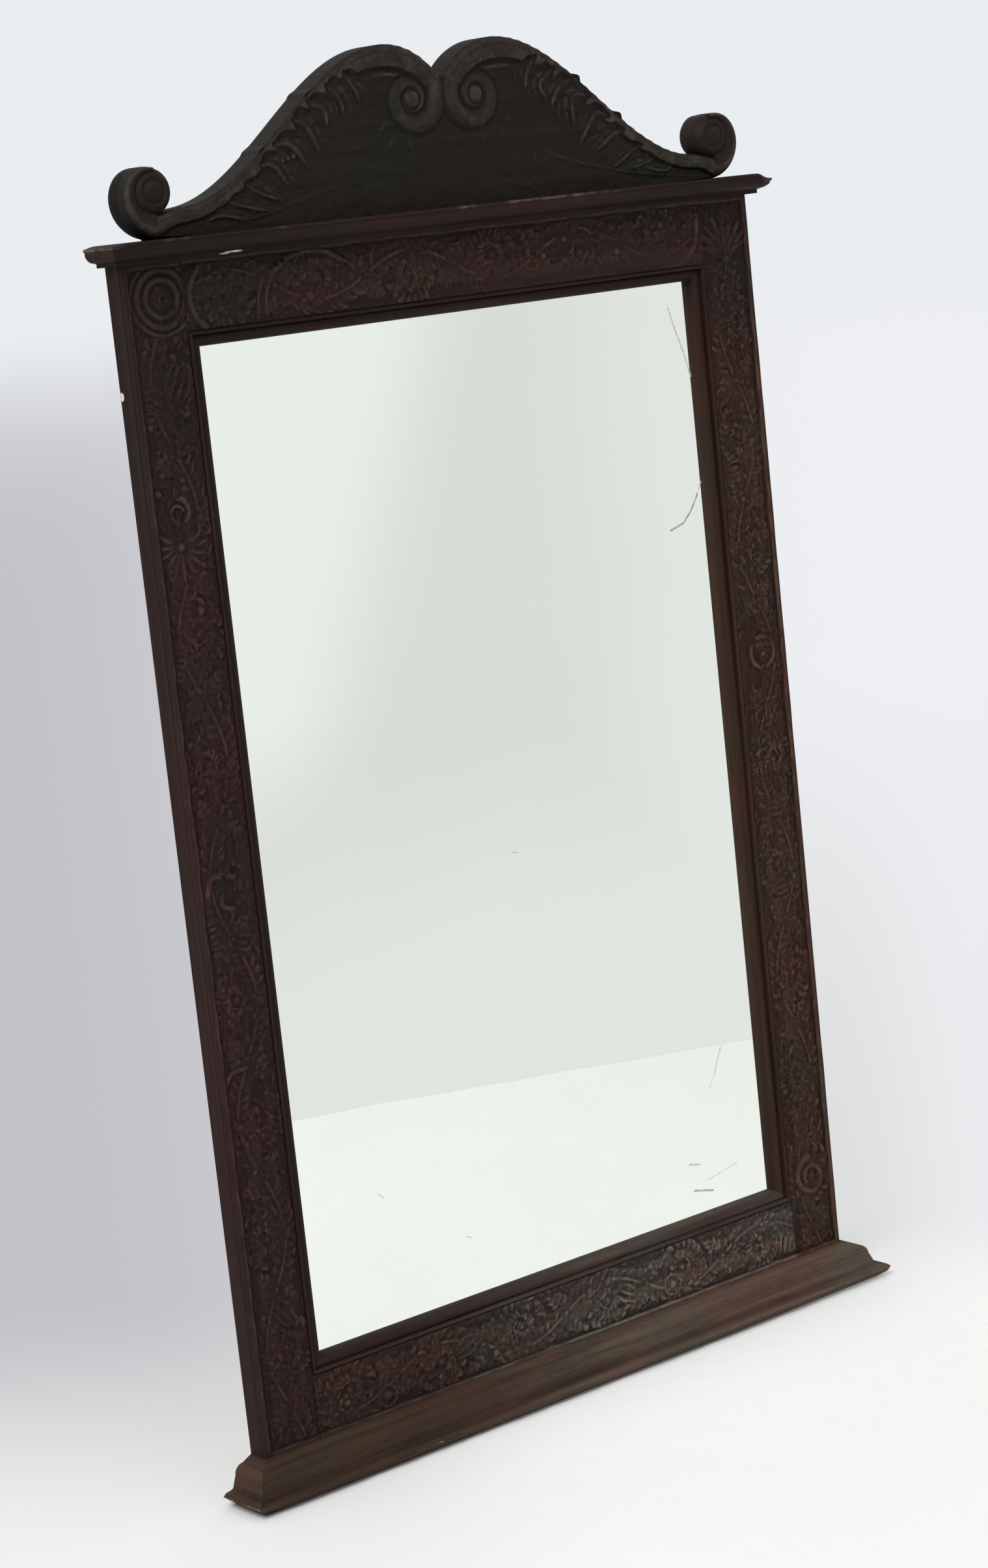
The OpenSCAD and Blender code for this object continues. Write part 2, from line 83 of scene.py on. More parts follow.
class Finish:
    """One finish: a material, or the studio's light, and its node tree."""

    def __init__(self, name):
        self.material = bpy.data.materials.new(name) if isinstance(name, str) else name
        self.material.use_nodes = True
        self.tree = self.material.node_tree
        self.tree.nodes.clear()

    def add(self, kind, settings=None, sockets=None, out=0):
        """Adds a node. Its settings go first, then the values or links of its sockets."""
        node = self.tree.nodes.new(kind)
        for name, value in (settings or {}).items():
            setattr(node, name, value)
        for name, value in (sockets or {}).items():
            if isinstance(value, Wire):
                self.tree.links.new(value.socket, node.inputs[name])
            elif isinstance(value, tuple) and node.inputs[name].type == "RGBA":
                node.inputs[name].default_value = (*value, 1.0)
            else:
                node.inputs[name].default_value = value
        return Wire(self, node.outputs[out]) if len(node.outputs) else None

    def place(self, scale=(1.0, 1.0, 1.0)):
        """The point being shaded, in metres, stretched by scale."""
        here = self.add("ShaderNodeTexCoord", out="Object")
        return self.add("ShaderNodeMapping", {}, {"Vector": here, "Scale": scale})

    def part(self, axis, where):
        """One coordinate of the point being shaded."""
        return self.add("ShaderNodeSeparateXYZ", {}, {"Vector": where}, out=axis)

    def away(self, where, spot):
        """The distance from a spot."""
        return self.add("ShaderNodeVectorMath", {"operation": "DISTANCE"}, {0: where, 1: spot}, out="Value")

    def noise(self, where, scale, detail=3.0, rough=0.55, distortion=0.0):
        sockets = {"Vector": where, "Scale": scale, "Detail": detail, "Roughness": rough,
                   "Distortion": distortion}
        return self.add("ShaderNodeTexNoise", {}, sockets)

    def mix(self, share, a, b, blend="MIX"):
        """Mixes two colours."""
        settings = {"data_type": "RGBA", "blend_type": blend}
        return self.add("ShaderNodeMix", settings, {0: share, 6: a, 7: b}, out=2)

    def coats(self, colour, *coats):
        """Lays coats over a colour in turn, each a share, a colour and perhaps a way of blending."""
        for share, coat, *blend in coats:
            colour = self.mix(share, colour, coat, *blend)
        return colour

    def bump(self, height, strength, distance=0.001):
        return self.add("ShaderNodeBump", {}, {"Strength": strength, "Distance": distance, "Height": height})

    def surface(self, colour, rough, normal, more):
        sockets = {"Base Color": colour, "Roughness": rough, "Normal": normal, **more}
        shader = self.add("ShaderNodeBsdfPrincipled", {}, sockets)
        self.add("ShaderNodeOutputMaterial", {}, {"Surface": shader})
        return self.material


def toned(colour, tone):
    """A colour times another, or times one number."""
    return tuple(c * t for c, t in zip(colour, tone if isinstance(tone, tuple) else (tone,) * 3))


def squeezed(along, share):
    """A stretch of the grain along one axis."""
    return tuple(share if axis == along else 1.0 for axis in "xyz")


def oak(name, along, stain, gloss=0.5, wear_level=0.5, tone=(1.0, 1.0, 1.0), patches=(), chips=()):
    """Stained and waxed oak with its grain along one axis. stain is four colours: dark and mid
    wood, the crests, lighter from handling and from painted highlight, and worn edges. patches are
    (x, z, inner, outer, tint), where the colour is lighter or darker, and chips are (x, y, z, size), where bare
    wood shows."""
    wood = Finish(name)
    dark, mid, rubbed = (toned(c, tone) for c in stain[:3])
    fine, even = wood.place(squeezed(along, 0.045)), wood.place()
    relief, wear = (wood.add("ShaderNodeAttribute", {"attribute_name": n}, out="Fac") for n in ("relief", "wear"))
    rings = wood.noise(fine, 95.0, 4.0, 0.6, 0.6)
    pores = wood.noise(fine, 900.0, 2.0, 0.6).step(0.6, 0.74)
    cloud = wood.noise(even, 9.0, 4.0, 0.6)
    smudge = wood.noise(even, 60.0, 4.0, 0.65)
    # Crests are lighter: rubbing wear, and painted highlight where light would catch them.
    raised = relief.step(0.5, 0.95) * (0.35 + smudge.step(0.4, 0.62) * 0.65)
    worn = (wear + smudge * 0.7 + rings * 0.3 - (1.25 - wear_level * 0.5)).step(0.0, 0.35)
    # Cuts are darker: painted shade.
    hollow = (1.0 - relief.step(0.08, 0.5)) * 0.85
    tinge = wood.mix(wood.noise(even, 13.0, 2.0).step(0.38, 0.62), (1.0, 0.85, 0.83), (0.84, 0.97, 0.91))
    colour = wood.coats(dark, (rings.step(0.3, 0.75), mid), (cloud.step(0.35, 0.75) * 0.45, dark),
                        (raised * 0.9, rubbed), (worn * 0.8, stain[3]), (pores * 0.5, toned(dark, 0.35)),
                        (hollow, toned(dark, 0.3)), (1.0, tinge, "MULTIPLY"))
    for (x, z, inner, outer, tint) in patches:
        away = wood.away(wood.place((1.0, 0.0, 1.0)), (x * MM, 0.0, z * MM))
        share = 1.0 - (away + (cloud - 0.5) * (outer - inner) * MM * 0.5).step(inner * MM, outer * MM)
        colour = wood.mix(share, colour, tint, "MULTIPLY")
    stretch = (0.09, 1.0, 1.0) if along == "x" else (1.0, 0.7, 0.6)
    for (x, y, z, size) in chips:
        away = wood.away(wood.place(stretch), toned((x * MM, y * MM, z * MM), stretch))
        spot = (size * MM - away + (smudge - 0.5) * size * MM * 1.2).step(0.0, 0.0005)
        colour = wood.mix(spot, colour, (0.60, 0.55, 0.48))
    rear = wood.part("Y", even).step(-0.0067, -0.0062)
    raw = wood.mix(rings.step(0.3, 0.75), (0.050, 0.031, 0.019), (0.105, 0.068, 0.042))
    colour = wood.mix(rear * (0.75 + smudge * 0.25), colour, raw)
    stipple = wood.add("ShaderNodeTexVoronoi", {"feature": "SMOOTH_F1"},
                       {"Vector": even, "Scale": 520.0, "Smoothness": 0.6})
    height = rings * 0.35 - pores * 0.5 + smudge * 0.35 + stipple * (1.0 - relief) * 0.6
    rough = 1.0 - gloss + smudge * 0.2 + (1.0 - relief) * 0.1 - worn * 0.05
    return wood.surface(colour, rough.at_most(0.95), wood.bump(height, 0.5, 0.0006), {"Specular IOR Level": 0.16})


def drift(x, z, size, seed):
    """Smooth random heights from 0 to 1 over points x, z, with lumps of about that size."""
    table = np.random.default_rng(seed).random((64, 64))
    u, v = x / size + 1000.0, z / size + 1000.0
    i, j = np.floor(u).astype(int), np.floor(v).astype(int)
    a, b = u - i, v - j
    a, b = a * a * (3 - 2 * a), b * b * (3 - 2 * b)
    i0, i1, j0, j1 = i % 64, (i + 1) % 64, j % 64, (j + 1) % 64
    low = table[i0, j0] * (1 - a) + table[i1, j0] * a
    return low * (1 - b) + (table[i0, j1] * (1 - a) + table[i1, j1] * a) * b


def near_sum(field, own=0):
    """Each point's four neighbours added up, after own times the point itself."""
    h = np.pad(field, 1, mode="edge")
    return own * field + h[2:, 1:-1] + h[:-2, 1:-1] + h[1:-1, 2:] + h[1:-1, :-2]


def cuts_and_crests(high, gain):
    """0 in the cuts, 1 on the crests and 0.55 on even ground, for a field of heights. From it the wood gets painted
    shade in the cuts, and rubbing wear with painted highlight on the crests.
    """
    even = high
    for _ in range(16):
        even = 0.2 * near_sum(even, 1)
    return np.clip(EVEN + gain * (high - even) + 0.45 * (high - EVEN), 0, 1)


def ease(value, low, high):
    t = np.clip((value - low) / (high - low), 0, 1)
    return t * t * (3 - 2 * t)


def rounding(away, radius):
    """How far a rounded edge lies below the face, at that distance from the edge."""
    inside = np.clip(radius - away, 0, radius)
    return radius - np.sqrt(radius * radius - inside * inside)


def dome(away, half):
    """The round back of a cut form: 1 along its middle and 0 at its edge."""
    u = np.clip(away / half, 0, 1)
    return np.sqrt(1 - u * u)


def bell(value, width):
    return np.exp(-(value / width) ** 2)


def round_points(x, z, radius, angles):
    return np.stack([x + radius * np.cos(angles), z + radius * np.sin(angles)], 1)


def lengths(line):
    """How far along a line each of its points lies."""
    return np.r_[0, np.cumsum(np.linalg.norm(np.diff(line, axis=0), axis=1))]


def bend(points, count=28):
    """A smooth line of points through a few given ones."""
    p = np.array([2 * np.array(points[0]) - points[1], *points, 2 * np.array(points[-1]) - points[-2]], float)
    line = []
    each = max(4, count // (len(points) - 1))
    for a, b, c, d in zip(p[:-3], p[1:-2], p[2:-1], p[3:]):
        for t in np.linspace(0, 1, each, endpoint=False):
            line.append(0.5 * (2 * b + (c - a) * t + (2 * a - 5 * b + 4 * c - d) * t ** 2
                               + (3 * b - a - 3 * c + d) * t ** 3))
    return np.array(line + [p[-2]])


class Relief:
    """A carving over a field of points x, z in millimetres. high is 0 on the sunk ground and 1
    at the face of the board; every shape is cut in with a small V round it."""

    def __init__(self, x, z, seed):
        self.x, self.z, self.seed, self.rng = x, z, seed, np.random.default_rng(seed)
        self.columns, self.rows = x[:, 0], z[0]
        self.high = np.zeros(x.shape)

    def window(self, low, top):
        """The part of the field between two corners."""
        i = np.searchsorted(self.columns, (low[0], top[0]))
        j = np.searchsorted(self.rows, (low[1], top[1]))
        return (slice(*i), slice(*j))

    def around(self, x, z, reach):
        """The part of the field round a point, and its distances from the point."""
        spot = self.window((x - reach, z - reach), (x + reach, z + reach))
        return spot, np.hypot(self.x[spot] - x, self.z[spot] - z)

    def near(self, line, reach):
        """The part of the field along a line: how far off, how far along, and on which side."""
        spot = self.window(line.min(0) - reach, line.max(0) + reach)
        x, z = self.x[spot], self.z[spot]
        away, along, side = np.full(x.shape, 1e9), np.zeros(x.shape), np.zeros(x.shape)
        run = lengths(line)
        for a, b, start in zip(line[:-1], line[1:], run):
            d = b - a
            size = d @ d
            if size < 1e-12:
                continue
            t = np.clip(((x - a[0]) * d[0] + (z - a[1]) * d[1]) / size, 0, 1)
            off_x, off_z = x - a[0] - t * d[0], z - a[1] - t * d[1]
            dist = np.hypot(off_x, off_z)
            k = dist < away
            away[k] = dist[k]
            along[k] = (start + t[k] * math.sqrt(size)) / run[-1]
            side[k] = np.sign(d[0] * off_z[k] - d[1] * off_x[k])
        return spot, away, along, side

    def cut_in(self, spot, away, half, height, gap=0.9):
        """Raises points nearer than half to height, and cuts a V just outside."""
        outside = np.clip((away - half) / gap, 0, 1)
        self.high[spot] = np.where(away < half, height, np.minimum(self.high[spot], 0.02 + outside * 1.3))

    def stem(self, line, start, end, high=0.9, gap=0.9):
        spot, away, along, _ = self.near(line, max(start, end) + gap + 0.5)
        half = start + (end - start) * along
        self.cut_in(spot, away, half, high * (0.45 + 0.55 * dome(away, half)), gap)

    def leaf(self, line, width, lobes=3, high=1.0, hollow=0.35, gap=0.8):
        """A pointed leaf along a line: lobed edges, a cut middle rib and side veins."""
        spot, away, along, _ = self.near(line, width + gap + 0.5)
        t = np.clip(along, 0.001, 0.999)
        half = width * np.sin(np.pi * t ** 0.72) ** 0.75
        half = half * (1 - 0.28 * np.abs(np.sin(np.pi * lobes * (t - 0.12 * away / width))) ** 3) + 0.25
        u = np.clip(away / half, 0, 1)
        dish = 1 - hollow * (1 - (2 * u - 1) ** 2) - 0.3 * u ** 5
        veins = 0.2 * np.clip(np.cos(2 * np.pi * (lobes * 1.5 * t - 0.5 * u)), 0, 1) ** 3
        rib = 0.35 * bell(away, 0.6)
        height = high * np.clip(dish - veins - rib, 0.1, 1) * (0.72 + 0.28 * np.sin(np.pi * t))
        self.cut_in(spot, away, half, height, gap)

    def blade(self, line, width, high=0.9, gap=0.7):
        """One plain round-backed lobe with a fine cut along it."""
        spot, away, along, side = self.near(line, width + gap + 0.5)
        half = width * np.sin(np.pi * np.clip(0.12 + 0.88 * along, 0.001, 0.995) ** 0.8) ** 0.7 + 0.15
        height = high * (0.5 + 0.5 * dome(away, half)) * (0.7 + 0.3 * along)
        height = height - 0.3 * bell(away * side - 0.35 * half, 0.45)
        self.cut_in(spot, away, half, height, gap)

    def frond(self, line, side, reach, gap, high, lean, first=0.0, last=1.0, lift=0.0):
        """Lobes that spring from one side of a stem, all leaning along it."""
        rng, run = self.rng, lengths(line)
        place = first * run[-1] + gap * rng.random()
        while place < last * run[-1]:
            k = max(1, min(int(np.searchsorted(run, place)), len(line) - 1))
            ahead = (line[k] - line[k - 1]) / max(1e-6, np.hypot(*(line[k] - line[k - 1])))
            out = np.array([-ahead[1], ahead[0]]) * side
            size = reach * (0.75 + 0.5 * rng.random())
            turn = lean * (0.8 + 0.4 * rng.random())
            root = line[k] + out * lift
            knee = root + out * size * 0.55 + ahead * size * 0.28 * turn
            tip = root + out * size * (0.92 - 0.2 * turn) + ahead * size * 0.95 * turn
            width, height = gap * (0.50 + 0.12 * rng.random()), high * (0.85 + 0.2 * rng.random())
            self.blade(bend([root, knee, tip], 8), width, height)
            place += gap * (0.85 + 0.35 * rng.random())

    def boss(self, x, z, radius, high=1.0, gap=0.9):
        spot, away = self.around(x, z, radius + gap)
        self.cut_in(spot, away, radius, high * (0.3 + 0.7 * dome(away, radius)), gap)

    def hole(self, x, z, radius):
        spot, away = self.around(x, z, radius)
        self.high[spot] = np.minimum(self.high[spot], 1 - 0.9 * ease(radius - away, 0, 0.6 * radius))

    def ring(self, x, z, radius, half, high=0.95, gap=0.8):
        spot, away = self.around(x, z, radius + half + gap)
        away = np.abs(away - radius)
        self.cut_in(spot, away, half, high * (0.3 + 0.7 * dome(away, half)), gap)

    def fan(self, x, z, length, middle, spread, count, width):
        """Lobes spreading from one point. Angles in degrees."""
        for k in sorted(range(count), key=lambda k: -abs(k - (count - 1) / 2)):
            a = math.radians(middle + spread * (k / (count - 1) - 0.5))
            off = abs(2 * k / (count - 1) - 1)
            size = length * (1 - 0.2 * off) * (0.9 + 0.2 * self.rng.random())
            curl = math.copysign(0.35, a - math.radians(middle)) * off
            s = np.array([0.1, 0.6, 1.0])
            ends = round_points(x, z, size * s, a + curl * s)
            self.blade(bend(ends, 8), width * (0.9 + 0.2 * self.rng.random()), 0.95)

    def flower(self, x, z, radius, petals, turn=0.0):
        for k in range(petals):
            a = turn + 2 * math.pi * k / petals
            tip = (x + radius * math.cos(a), z + radius * math.sin(a))
            self.leaf(bend([(x, z), tip], 6), radius * 0.42, 1, 0.95, 0.45, 0.5)
        self.boss(x, z, radius * 0.3, 1.0, 0.5)

    def strokes(self, x, z, length, angle, count, gap, width):
        """A few short leaf cuts side by side."""
        a = math.radians(angle)
        ahead, out = np.array([math.cos(a), math.sin(a)]), np.array([-math.sin(a), math.cos(a)])
        for k in range(count):
            root = np.array([x, z]) + out * gap * (k - (count - 1) / 2)
            root = root - ahead * length * (0.5 + 0.1 * self.rng.random())
            bow = out * length * 0.12 * (2 * k / (count - 1) - 1)
            self.blade(bend([root, root + ahead * length * 0.5 + bow, root + ahead * length], 8), width, 0.95)

    def volute(self, x, z, radius, start, turns, width, turn=1, high=0.98):
        """A band rolled up into a spiral with a flower in its eye. start in degrees."""
        a = np.linspace(0, 2 * np.pi * turns, 50)
        size = radius * np.exp(-0.9 * a / a[-1]) * (1 + 0.05 * np.sin(2.3 * a + start))
        curl = round_points(x, z, size, math.radians(start) + turn * a)
        self.stem(curl, width, width * 0.4, high)
        self.flower(x, z, radius * 0.34, 5, start)
        return curl

    def fill(self, flow, gap=6.5, level=0.34, high=0.5):
        """Puts small lobes wherever the ground still shows."""
        rng = self.rng
        for cx in np.arange(self.columns[0] + 2, self.columns[-1], gap):
            for cz in np.arange(self.rows[0] + 2, self.rows[-1], gap):
                px, pz = cx + gap * (rng.random() - 0.5), cz + gap * (rng.random() - 0.5)
                lot = rng.random(3)
                spot = self.window((px - 2.4, pz - 2.4), (px + 2.4, pz + 2.4))
                if self.high[spot].size < 4 or self.high[spot].mean() > level:
                    continue
                a = math.radians(flow(px, pz) + 70 * (lot[0] - 0.5))
                size = gap * (0.75 + 0.6 * lot[1])
                here, ahead = np.array([px, pz]), np.array([math.cos(a), math.sin(a)])
                side = np.array([-math.sin(a), math.cos(a)]) * size * 0.2 * (lot[2] - 0.5)
                self.blade(bend([here - ahead * size * 0.6, here + side, here + ahead * size * 0.7], 8),
                           gap * (0.26 + 0.14 * lot[2]), high * (0.8 + 0.35 * lot[1]))

    def soften(self, times):
        """Rubs the carving down a little."""
        for _ in range(times):
            self.high = 0.4 * self.high + 0.15 * near_sum(self.high)


def running_scroll(relief, lay, first, last, waves, reach, start_side=1, skip=()):
    """A leafy stem that waves along a member, curling into a volute in each hollow."""
    rng = relief.rng
    step = (last - first) / waves
    volutes = []
    for k in range(-1, waves + 1):
        side = start_side if k % 2 == 0 else -start_side
        start = first + k * step
        high = reach * (0.9 + 0.15 * rng.random())
        s = np.linspace(start, start + step, 26)
        wave = lay(np.stack([s, side * high * np.sin(np.pi * (s - start) / step)], 1))
        for way in (1, -1):
            relief.frond(wave, way, 15.0, 7.2, 0.8, 0.9)
        relief.stem(wave, 2.3, 1.9, 0.72)
        for (a, b, tip_a, tip_b, size) in ((0.04, 2, -0.18, 23.0, 7.4), (0.96, 2, 1.17, 23.0, 7.4),
                                           (0.02, -4, 0.22, -22.5, 7.0), (0.98, -4, 0.78, -23.0, 7.0),
                                           (0.5, 14, 0.42, 23.0, 5.5)):
            root = np.array([start + a * step, side * b])
            tip_s = start + tip_a * step + 9 * (rng.random() - 0.5)
            tip = np.array([tip_s, side * (tip_b + 4 * (rng.random() - 0.5))])
            knee = 0.5 * (root + tip) + np.array([7.0 * (rng.random() - 0.4), side * 3.0 * rng.random()])
            relief.leaf(lay(bend([root, knee, tip], 14)), size * (0.8 + 0.4 * rng.random()), 3, 1.0)
        middle = start + (0.5 + 0.08 * (rng.random() - 0.5)) * step
        centre = np.array([[middle, -3.0 * side + 2 * (rng.random() - 0.5)]])
        if k not in skip:
            volutes.append((side, centre, rng.random(4)))
    for side, centre, lot in volutes:
        c, top = lay(centre)[0], lay(centre + [[0, side]])[0]
        angle = math.degrees(math.atan2(top[1] - c[1], top[0] - c[0]))
        turn = 1 if lot[0] < 0.5 else -1
        radius = 18.5 + 3.0 * lot[1]
        rim = round_points(c[0], c[1], radius, np.radians(angle) + turn * np.linspace(0.5, 4.4, 40))
        relief.frond(rim, -turn, 8.5, 6.0, 0.95, 1.0, lift=1.0)
        turns, width = 1.2 + 0.5 * lot[2], 2.1 + 0.7 * lot[3]
        curl = relief.volute(c[0], c[1], radius, angle + turn * 20, turns, width, turn, 0.78)
        relief.frond(curl, turn, 9.5, 5.6, 1.0, 1.1, 0.05, 0.8, -1.0)
        for share, size in ((0.10, 6.2), (0.36, 5.4), (0.62, 4.6)):
            k = int(share * (len(curl) - 1))
            out = (curl[k] - c) / max(1.0, np.hypot(*(curl[k] - c)))
            ahead = np.array([-out[1], out[0]]) * turn
            knee, tip = curl[k] + out * 4 + ahead * 7, curl[k] + out * 1.5 + ahead * (12 + 5 * lot[3])
            relief.leaf(bend([curl[k] - ahead * 3, knee, tip], 12), size, 2, 1.0, 0.4, 1.0)


def wood_layers(bm):
    """The two numbers kept at each point of a carved or worn piece: relief, from which the wood gets painted shade
    in its cuts and painted highlight on its crests, and wear.
    """
    return [bm.verts.layers.float.new(name) for name in ("relief", "wear")]


def laid_grid(bm, x, y, z, layers, values, closed=False):
    """Adds a grid of faces to bm with its points at x, y, z. A closed one comes back to its start."""
    nx, nz = x.shape[0] - (not closed), x.shape[1] - 1
    grid = bmesh.ops.create_grid(bm, x_segments=nx, y_segments=nz, size=1.0)["verts"]
    for v in grid:
        i, j = round((v.co.x + 1) / 2 * nx) % x.shape[0], round((v.co.y + 1) / 2 * nz)
        v.co = (x[i, j] * MM, y[i, j] * MM, z[i, j] * MM)
        for layer, value in zip(layers, values):
            v[layer] = value[i, j]
    return grid


def in_order(bm):
    """Puts edges and faces in an order that their points alone decide, so it is the same each run."""
    bm.verts.index_update()
    for parts in (bm.edges, bm.faces):
        parts.sort(key=lambda part: sum(math.sqrt(v.index) for v in part.verts))


def carved_slab(bm, x, y, z, back, layers, values):
    """Adds a closed slab to bm: a grid of points at the front, its rim drawn back, and a flat back."""
    grid = set(laid_grid(bm, x, y, z, layers, values))
    rim = [e for e in bm.edges if e.is_boundary and e.verts[0] in grid]
    drawn = bmesh.ops.extrude_edge_only(bm, edges=rim)["geom"]
    for v in drawn:
        if isinstance(v, bmesh.types.BMVert):
            v.co.y = back * MM
    in_order(bm)
    bmesh.ops.edgeloop_fill(bm, edges=[e for e in bm.edges if e.is_boundary])


def in_scene(name, data):
    thing = bpy.data.objects.new(name, data)
    bpy.context.scene.collection.objects.link(thing)
    return thing


def made(bm, name, material):
    """Turns a bmesh into an object."""
    mesh = bpy.data.meshes.new(name)
    bm.to_mesh(mesh)
    bm.free()
    mesh.materials.append(material)
    return in_scene(name, mesh)


def finished(bm, name, material, node, body="frame", angle=40.0):
    """Makes the piece from its bmesh, hangs it on its body and hides the imported part it
    stands for. Edges sharper than angle are crisp, and so is the rim of any broad flat face."""
    in_order(bm)
    bmesh.ops.recalc_face_normals(bm, faces=bm.faces)
    bm.edges.index_update()
    broad_rims = {e.index for f in bm.faces if f.calc_area() > BROAD for e in f.edges
                  if len(e.link_faces) == 2 and e.calc_face_angle(0) > math.radians(12)}
    piece = made(bm, name, material)
    mesh = piece.data
    mesh.polygons.foreach_set("use_smooth", [True] * len(mesh.polygons))
    mesh.set_sharp_from_angle(angle=math.radians(angle))
    sharp = mesh.attributes.get("sharp_edge") or mesh.attributes.new("sharp_edge", "BOOLEAN", "EDGE")
    for k in broad_rims:
        sharp.data[k].value = True
    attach(piece, body)
    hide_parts(node)


def solid_copy(node):
    """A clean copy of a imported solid, its triangles merged into flat faces."""
    bm = bmesh.new()
    bm.from_mesh(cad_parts[node].data)
    bmesh.ops.remove_doubles(bm, verts=bm.verts, dist=1e-6)
    bmesh.ops.dissolve_limit(bm, angle_limit=math.radians(0.3), verts=bm.verts, edges=bm.edges)
    return bm


def field_lines(low, high, step):
    """Grid lines from low to high, closer together at both ends."""
    edge = 1.5
    close = np.array([0, 0.25, 0.6, 1.0]) * edge
    middle = np.linspace(low + edge, high - edge, max(2, round((high - low - 2 * edge) / step)) + 1)
    return np.concatenate([low + close, middle[1:-1], high - close[::-1]])


def carved_member(node, low, high, material, seed, carve, *cut):
    """Replaces the flat front of a stile or rail by its carving. low and high are the corners of
    the field in x and z; carve cuts the ornament and tells where the plain border is."""
    upright = node.endswith("stile")
    bm = solid_copy(node)
    layers = wood_layers(bm)
    for v in bm.verts:
        v[layers[0]] = EVEN
    k = 0 if upright else 1
    inner = (low[k] if low[k] > 0 else high[k]) * MM
    for point, normal in (((0, CUT_Y * MM, 0), (0, 1, 0)),
                          ((inner, 0, 0), (1, 0, 0)) if upright else ((0, 0, inner), (0, 0, 1))):
        bmesh.ops.bisect_plane(bm, geom=bm.verts[:] + bm.edges[:] + bm.faces[:], dist=1e-7,
                               plane_co=point, plane_no=normal)
    slack = 0.01
    gone = []
    for f in bm.faces:
        c = f.calc_center_bounds() / MM
        if (c.y < CUT_Y - slack and low[0] - slack < c.x < high[0] + slack
                and low[1] - slack < c.z < high[1] + slack):
            gone.append(f)
    bmesh.ops.delete(bm, geom=gone, context="FACES")
    rim = [e for e in bm.edges if e.is_boundary]
    bmesh.ops.triangle_fill(bm, use_beauty=True, edges=rim, normal=(0, -1, 0))
    x, z = np.meshgrid(field_lines(low[0], high[0], 1.0), field_lines(low[1], high[1], 1.02), indexing="ij")
    relief = Relief(x, z, seed)
    relief.high = 0.12 + 0.2 * drift(x, z, 4.0, seed + 1)
    border = carve(relief, *cut)
    relief.high = np.clip(relief.high, 0, 1)
    edge_away = np.minimum(np.minimum(x - low[0], high[0] - x), np.minimum(z - low[1], high[1] - z))
    sight_away = np.abs(x) - SIGHT_X - SHOULDER if upright else np.abs(z) - SIGHT_Z - SHOULDER
    outer = (HALF_W - np.abs(x)) if upright else np.full_like(x, 50.0)
    lumps = drift(x, z, 9.0, 3) * 0.7 + drift(x, z, 23.0, 4) * 0.9
    drop = np.maximum(rounding(edge_away, 0.3), rounding(outer, 2.2 + 1.2 * drift(x, z, 31.0, 5)))
    drop = np.maximum(drop, rounding(sight_away, 2.85))
    y = FACE_Y + SUNK * (1 - relief.high) + 0.28 * (lumps - 0.4)
    y = np.minimum(np.maximum(y, FACE_Y + drop), CUT_Y - 0.15)
    wear = ease(2.5 - outer, 0, 2.5) * 0.35 + border * 0.15
    # Painted shade in the cuts and painted highlight on the crests; the plain border is kept darker, with less of
    # that highlight.
    shade = cuts_and_crests(relief.high, 1.5) - 0.32 * border
    carved_slab(bm, x, y, z, CUT_Y + 0.6, layers, (shade, wear))
    finished(bm, node + "_carved", material, node, angle=55.0)


def margin_cut(relief, margin):
    """Leaves the plain raised border standing, and tells where it is."""
    margin = margin + 1.4 * (drift(relief.x, relief.z, 14.0, relief.seed) - 0.5)
    raised = 1 - ease(margin, 0.0, 1.6)
    relief.high = np.maximum(relief.high * ease(margin, 0.5, 1.9), raised * 0.97)
    return 0.4 * raised


def dotted(relief, bosses, holes):
    """Berries and the round holes that the drill left."""
    for berry in bosses:
        relief.boss(*berry)
    for hole in holes:
        relief.hole(*hole)


def roughened(relief):
    relief.high += 0.16 * (drift(relief.x, relief.z, 2.4, relief.seed + 5) - 0.5)
    relief.soften(1)


def left_stile_ornament(relief, lay):
    running_scroll(relief, lay, -483, 471, 9, 17, 1, (4, 7, 9))
    relief.fan(-328, 286, 34, -90, 200, 11, 2.7)
    relief.boss(-328, 285, 4)
    relief.volute(-327, 314, 13, 90, 1.2, 3, -1)
    for cut in ((-343, 185, 13, -18, 5, 5.2, 2.1), (-312, 424, 36, 64, 4, 5.2, 2.3),
                (-343, 404, 9, 5, 6, 5.4, 2.1), (-343, -50, 10, 10, 5, 5.2, 2.1),
                (-312, -62, 15, -12, 3, 4.8, 2.1), (-318, -404, 22, -50, 4, 4.8, 2.1)):
        relief.strokes(*cut)
    relief.stem(bend([(-349, -181), (-341, -173), (-325, -172)]), 2.4, 1.6, 1.0)
    snail = [(-345, -14), (-340, -2), (-328, 0), (-314, -6), (-308, -20), (-318, -30), (-331, -26), (-329, -17)]
    relief.stem(bend(snail, 50), 3.4, 2.2, 1.0)
    bosses = ((-345, 388, 3.4), (-345, 332, 3.6), (-317, 229, 4.2), (-315, 10, 4.4), (-325, -122, 3.8),
              (-340, -223, 4), (-318, -235, 2.6), (-330, -266, 2.8), (-342, 58, 2.6), (-340, -397, 3.4))
    holes = ((-337, 365, 3), (-324, 366, 3), (-313, 360, 3), (-328, 187, 2.6), (-325, 144, 2.4), (-338, 92, 2.8),
             (-317, 63, 3.2), (-340, -86, 2.8), (-328, -303, 3), (-328, -358, 2.6), (-350, -106, 2.2))
    return bosses, holes


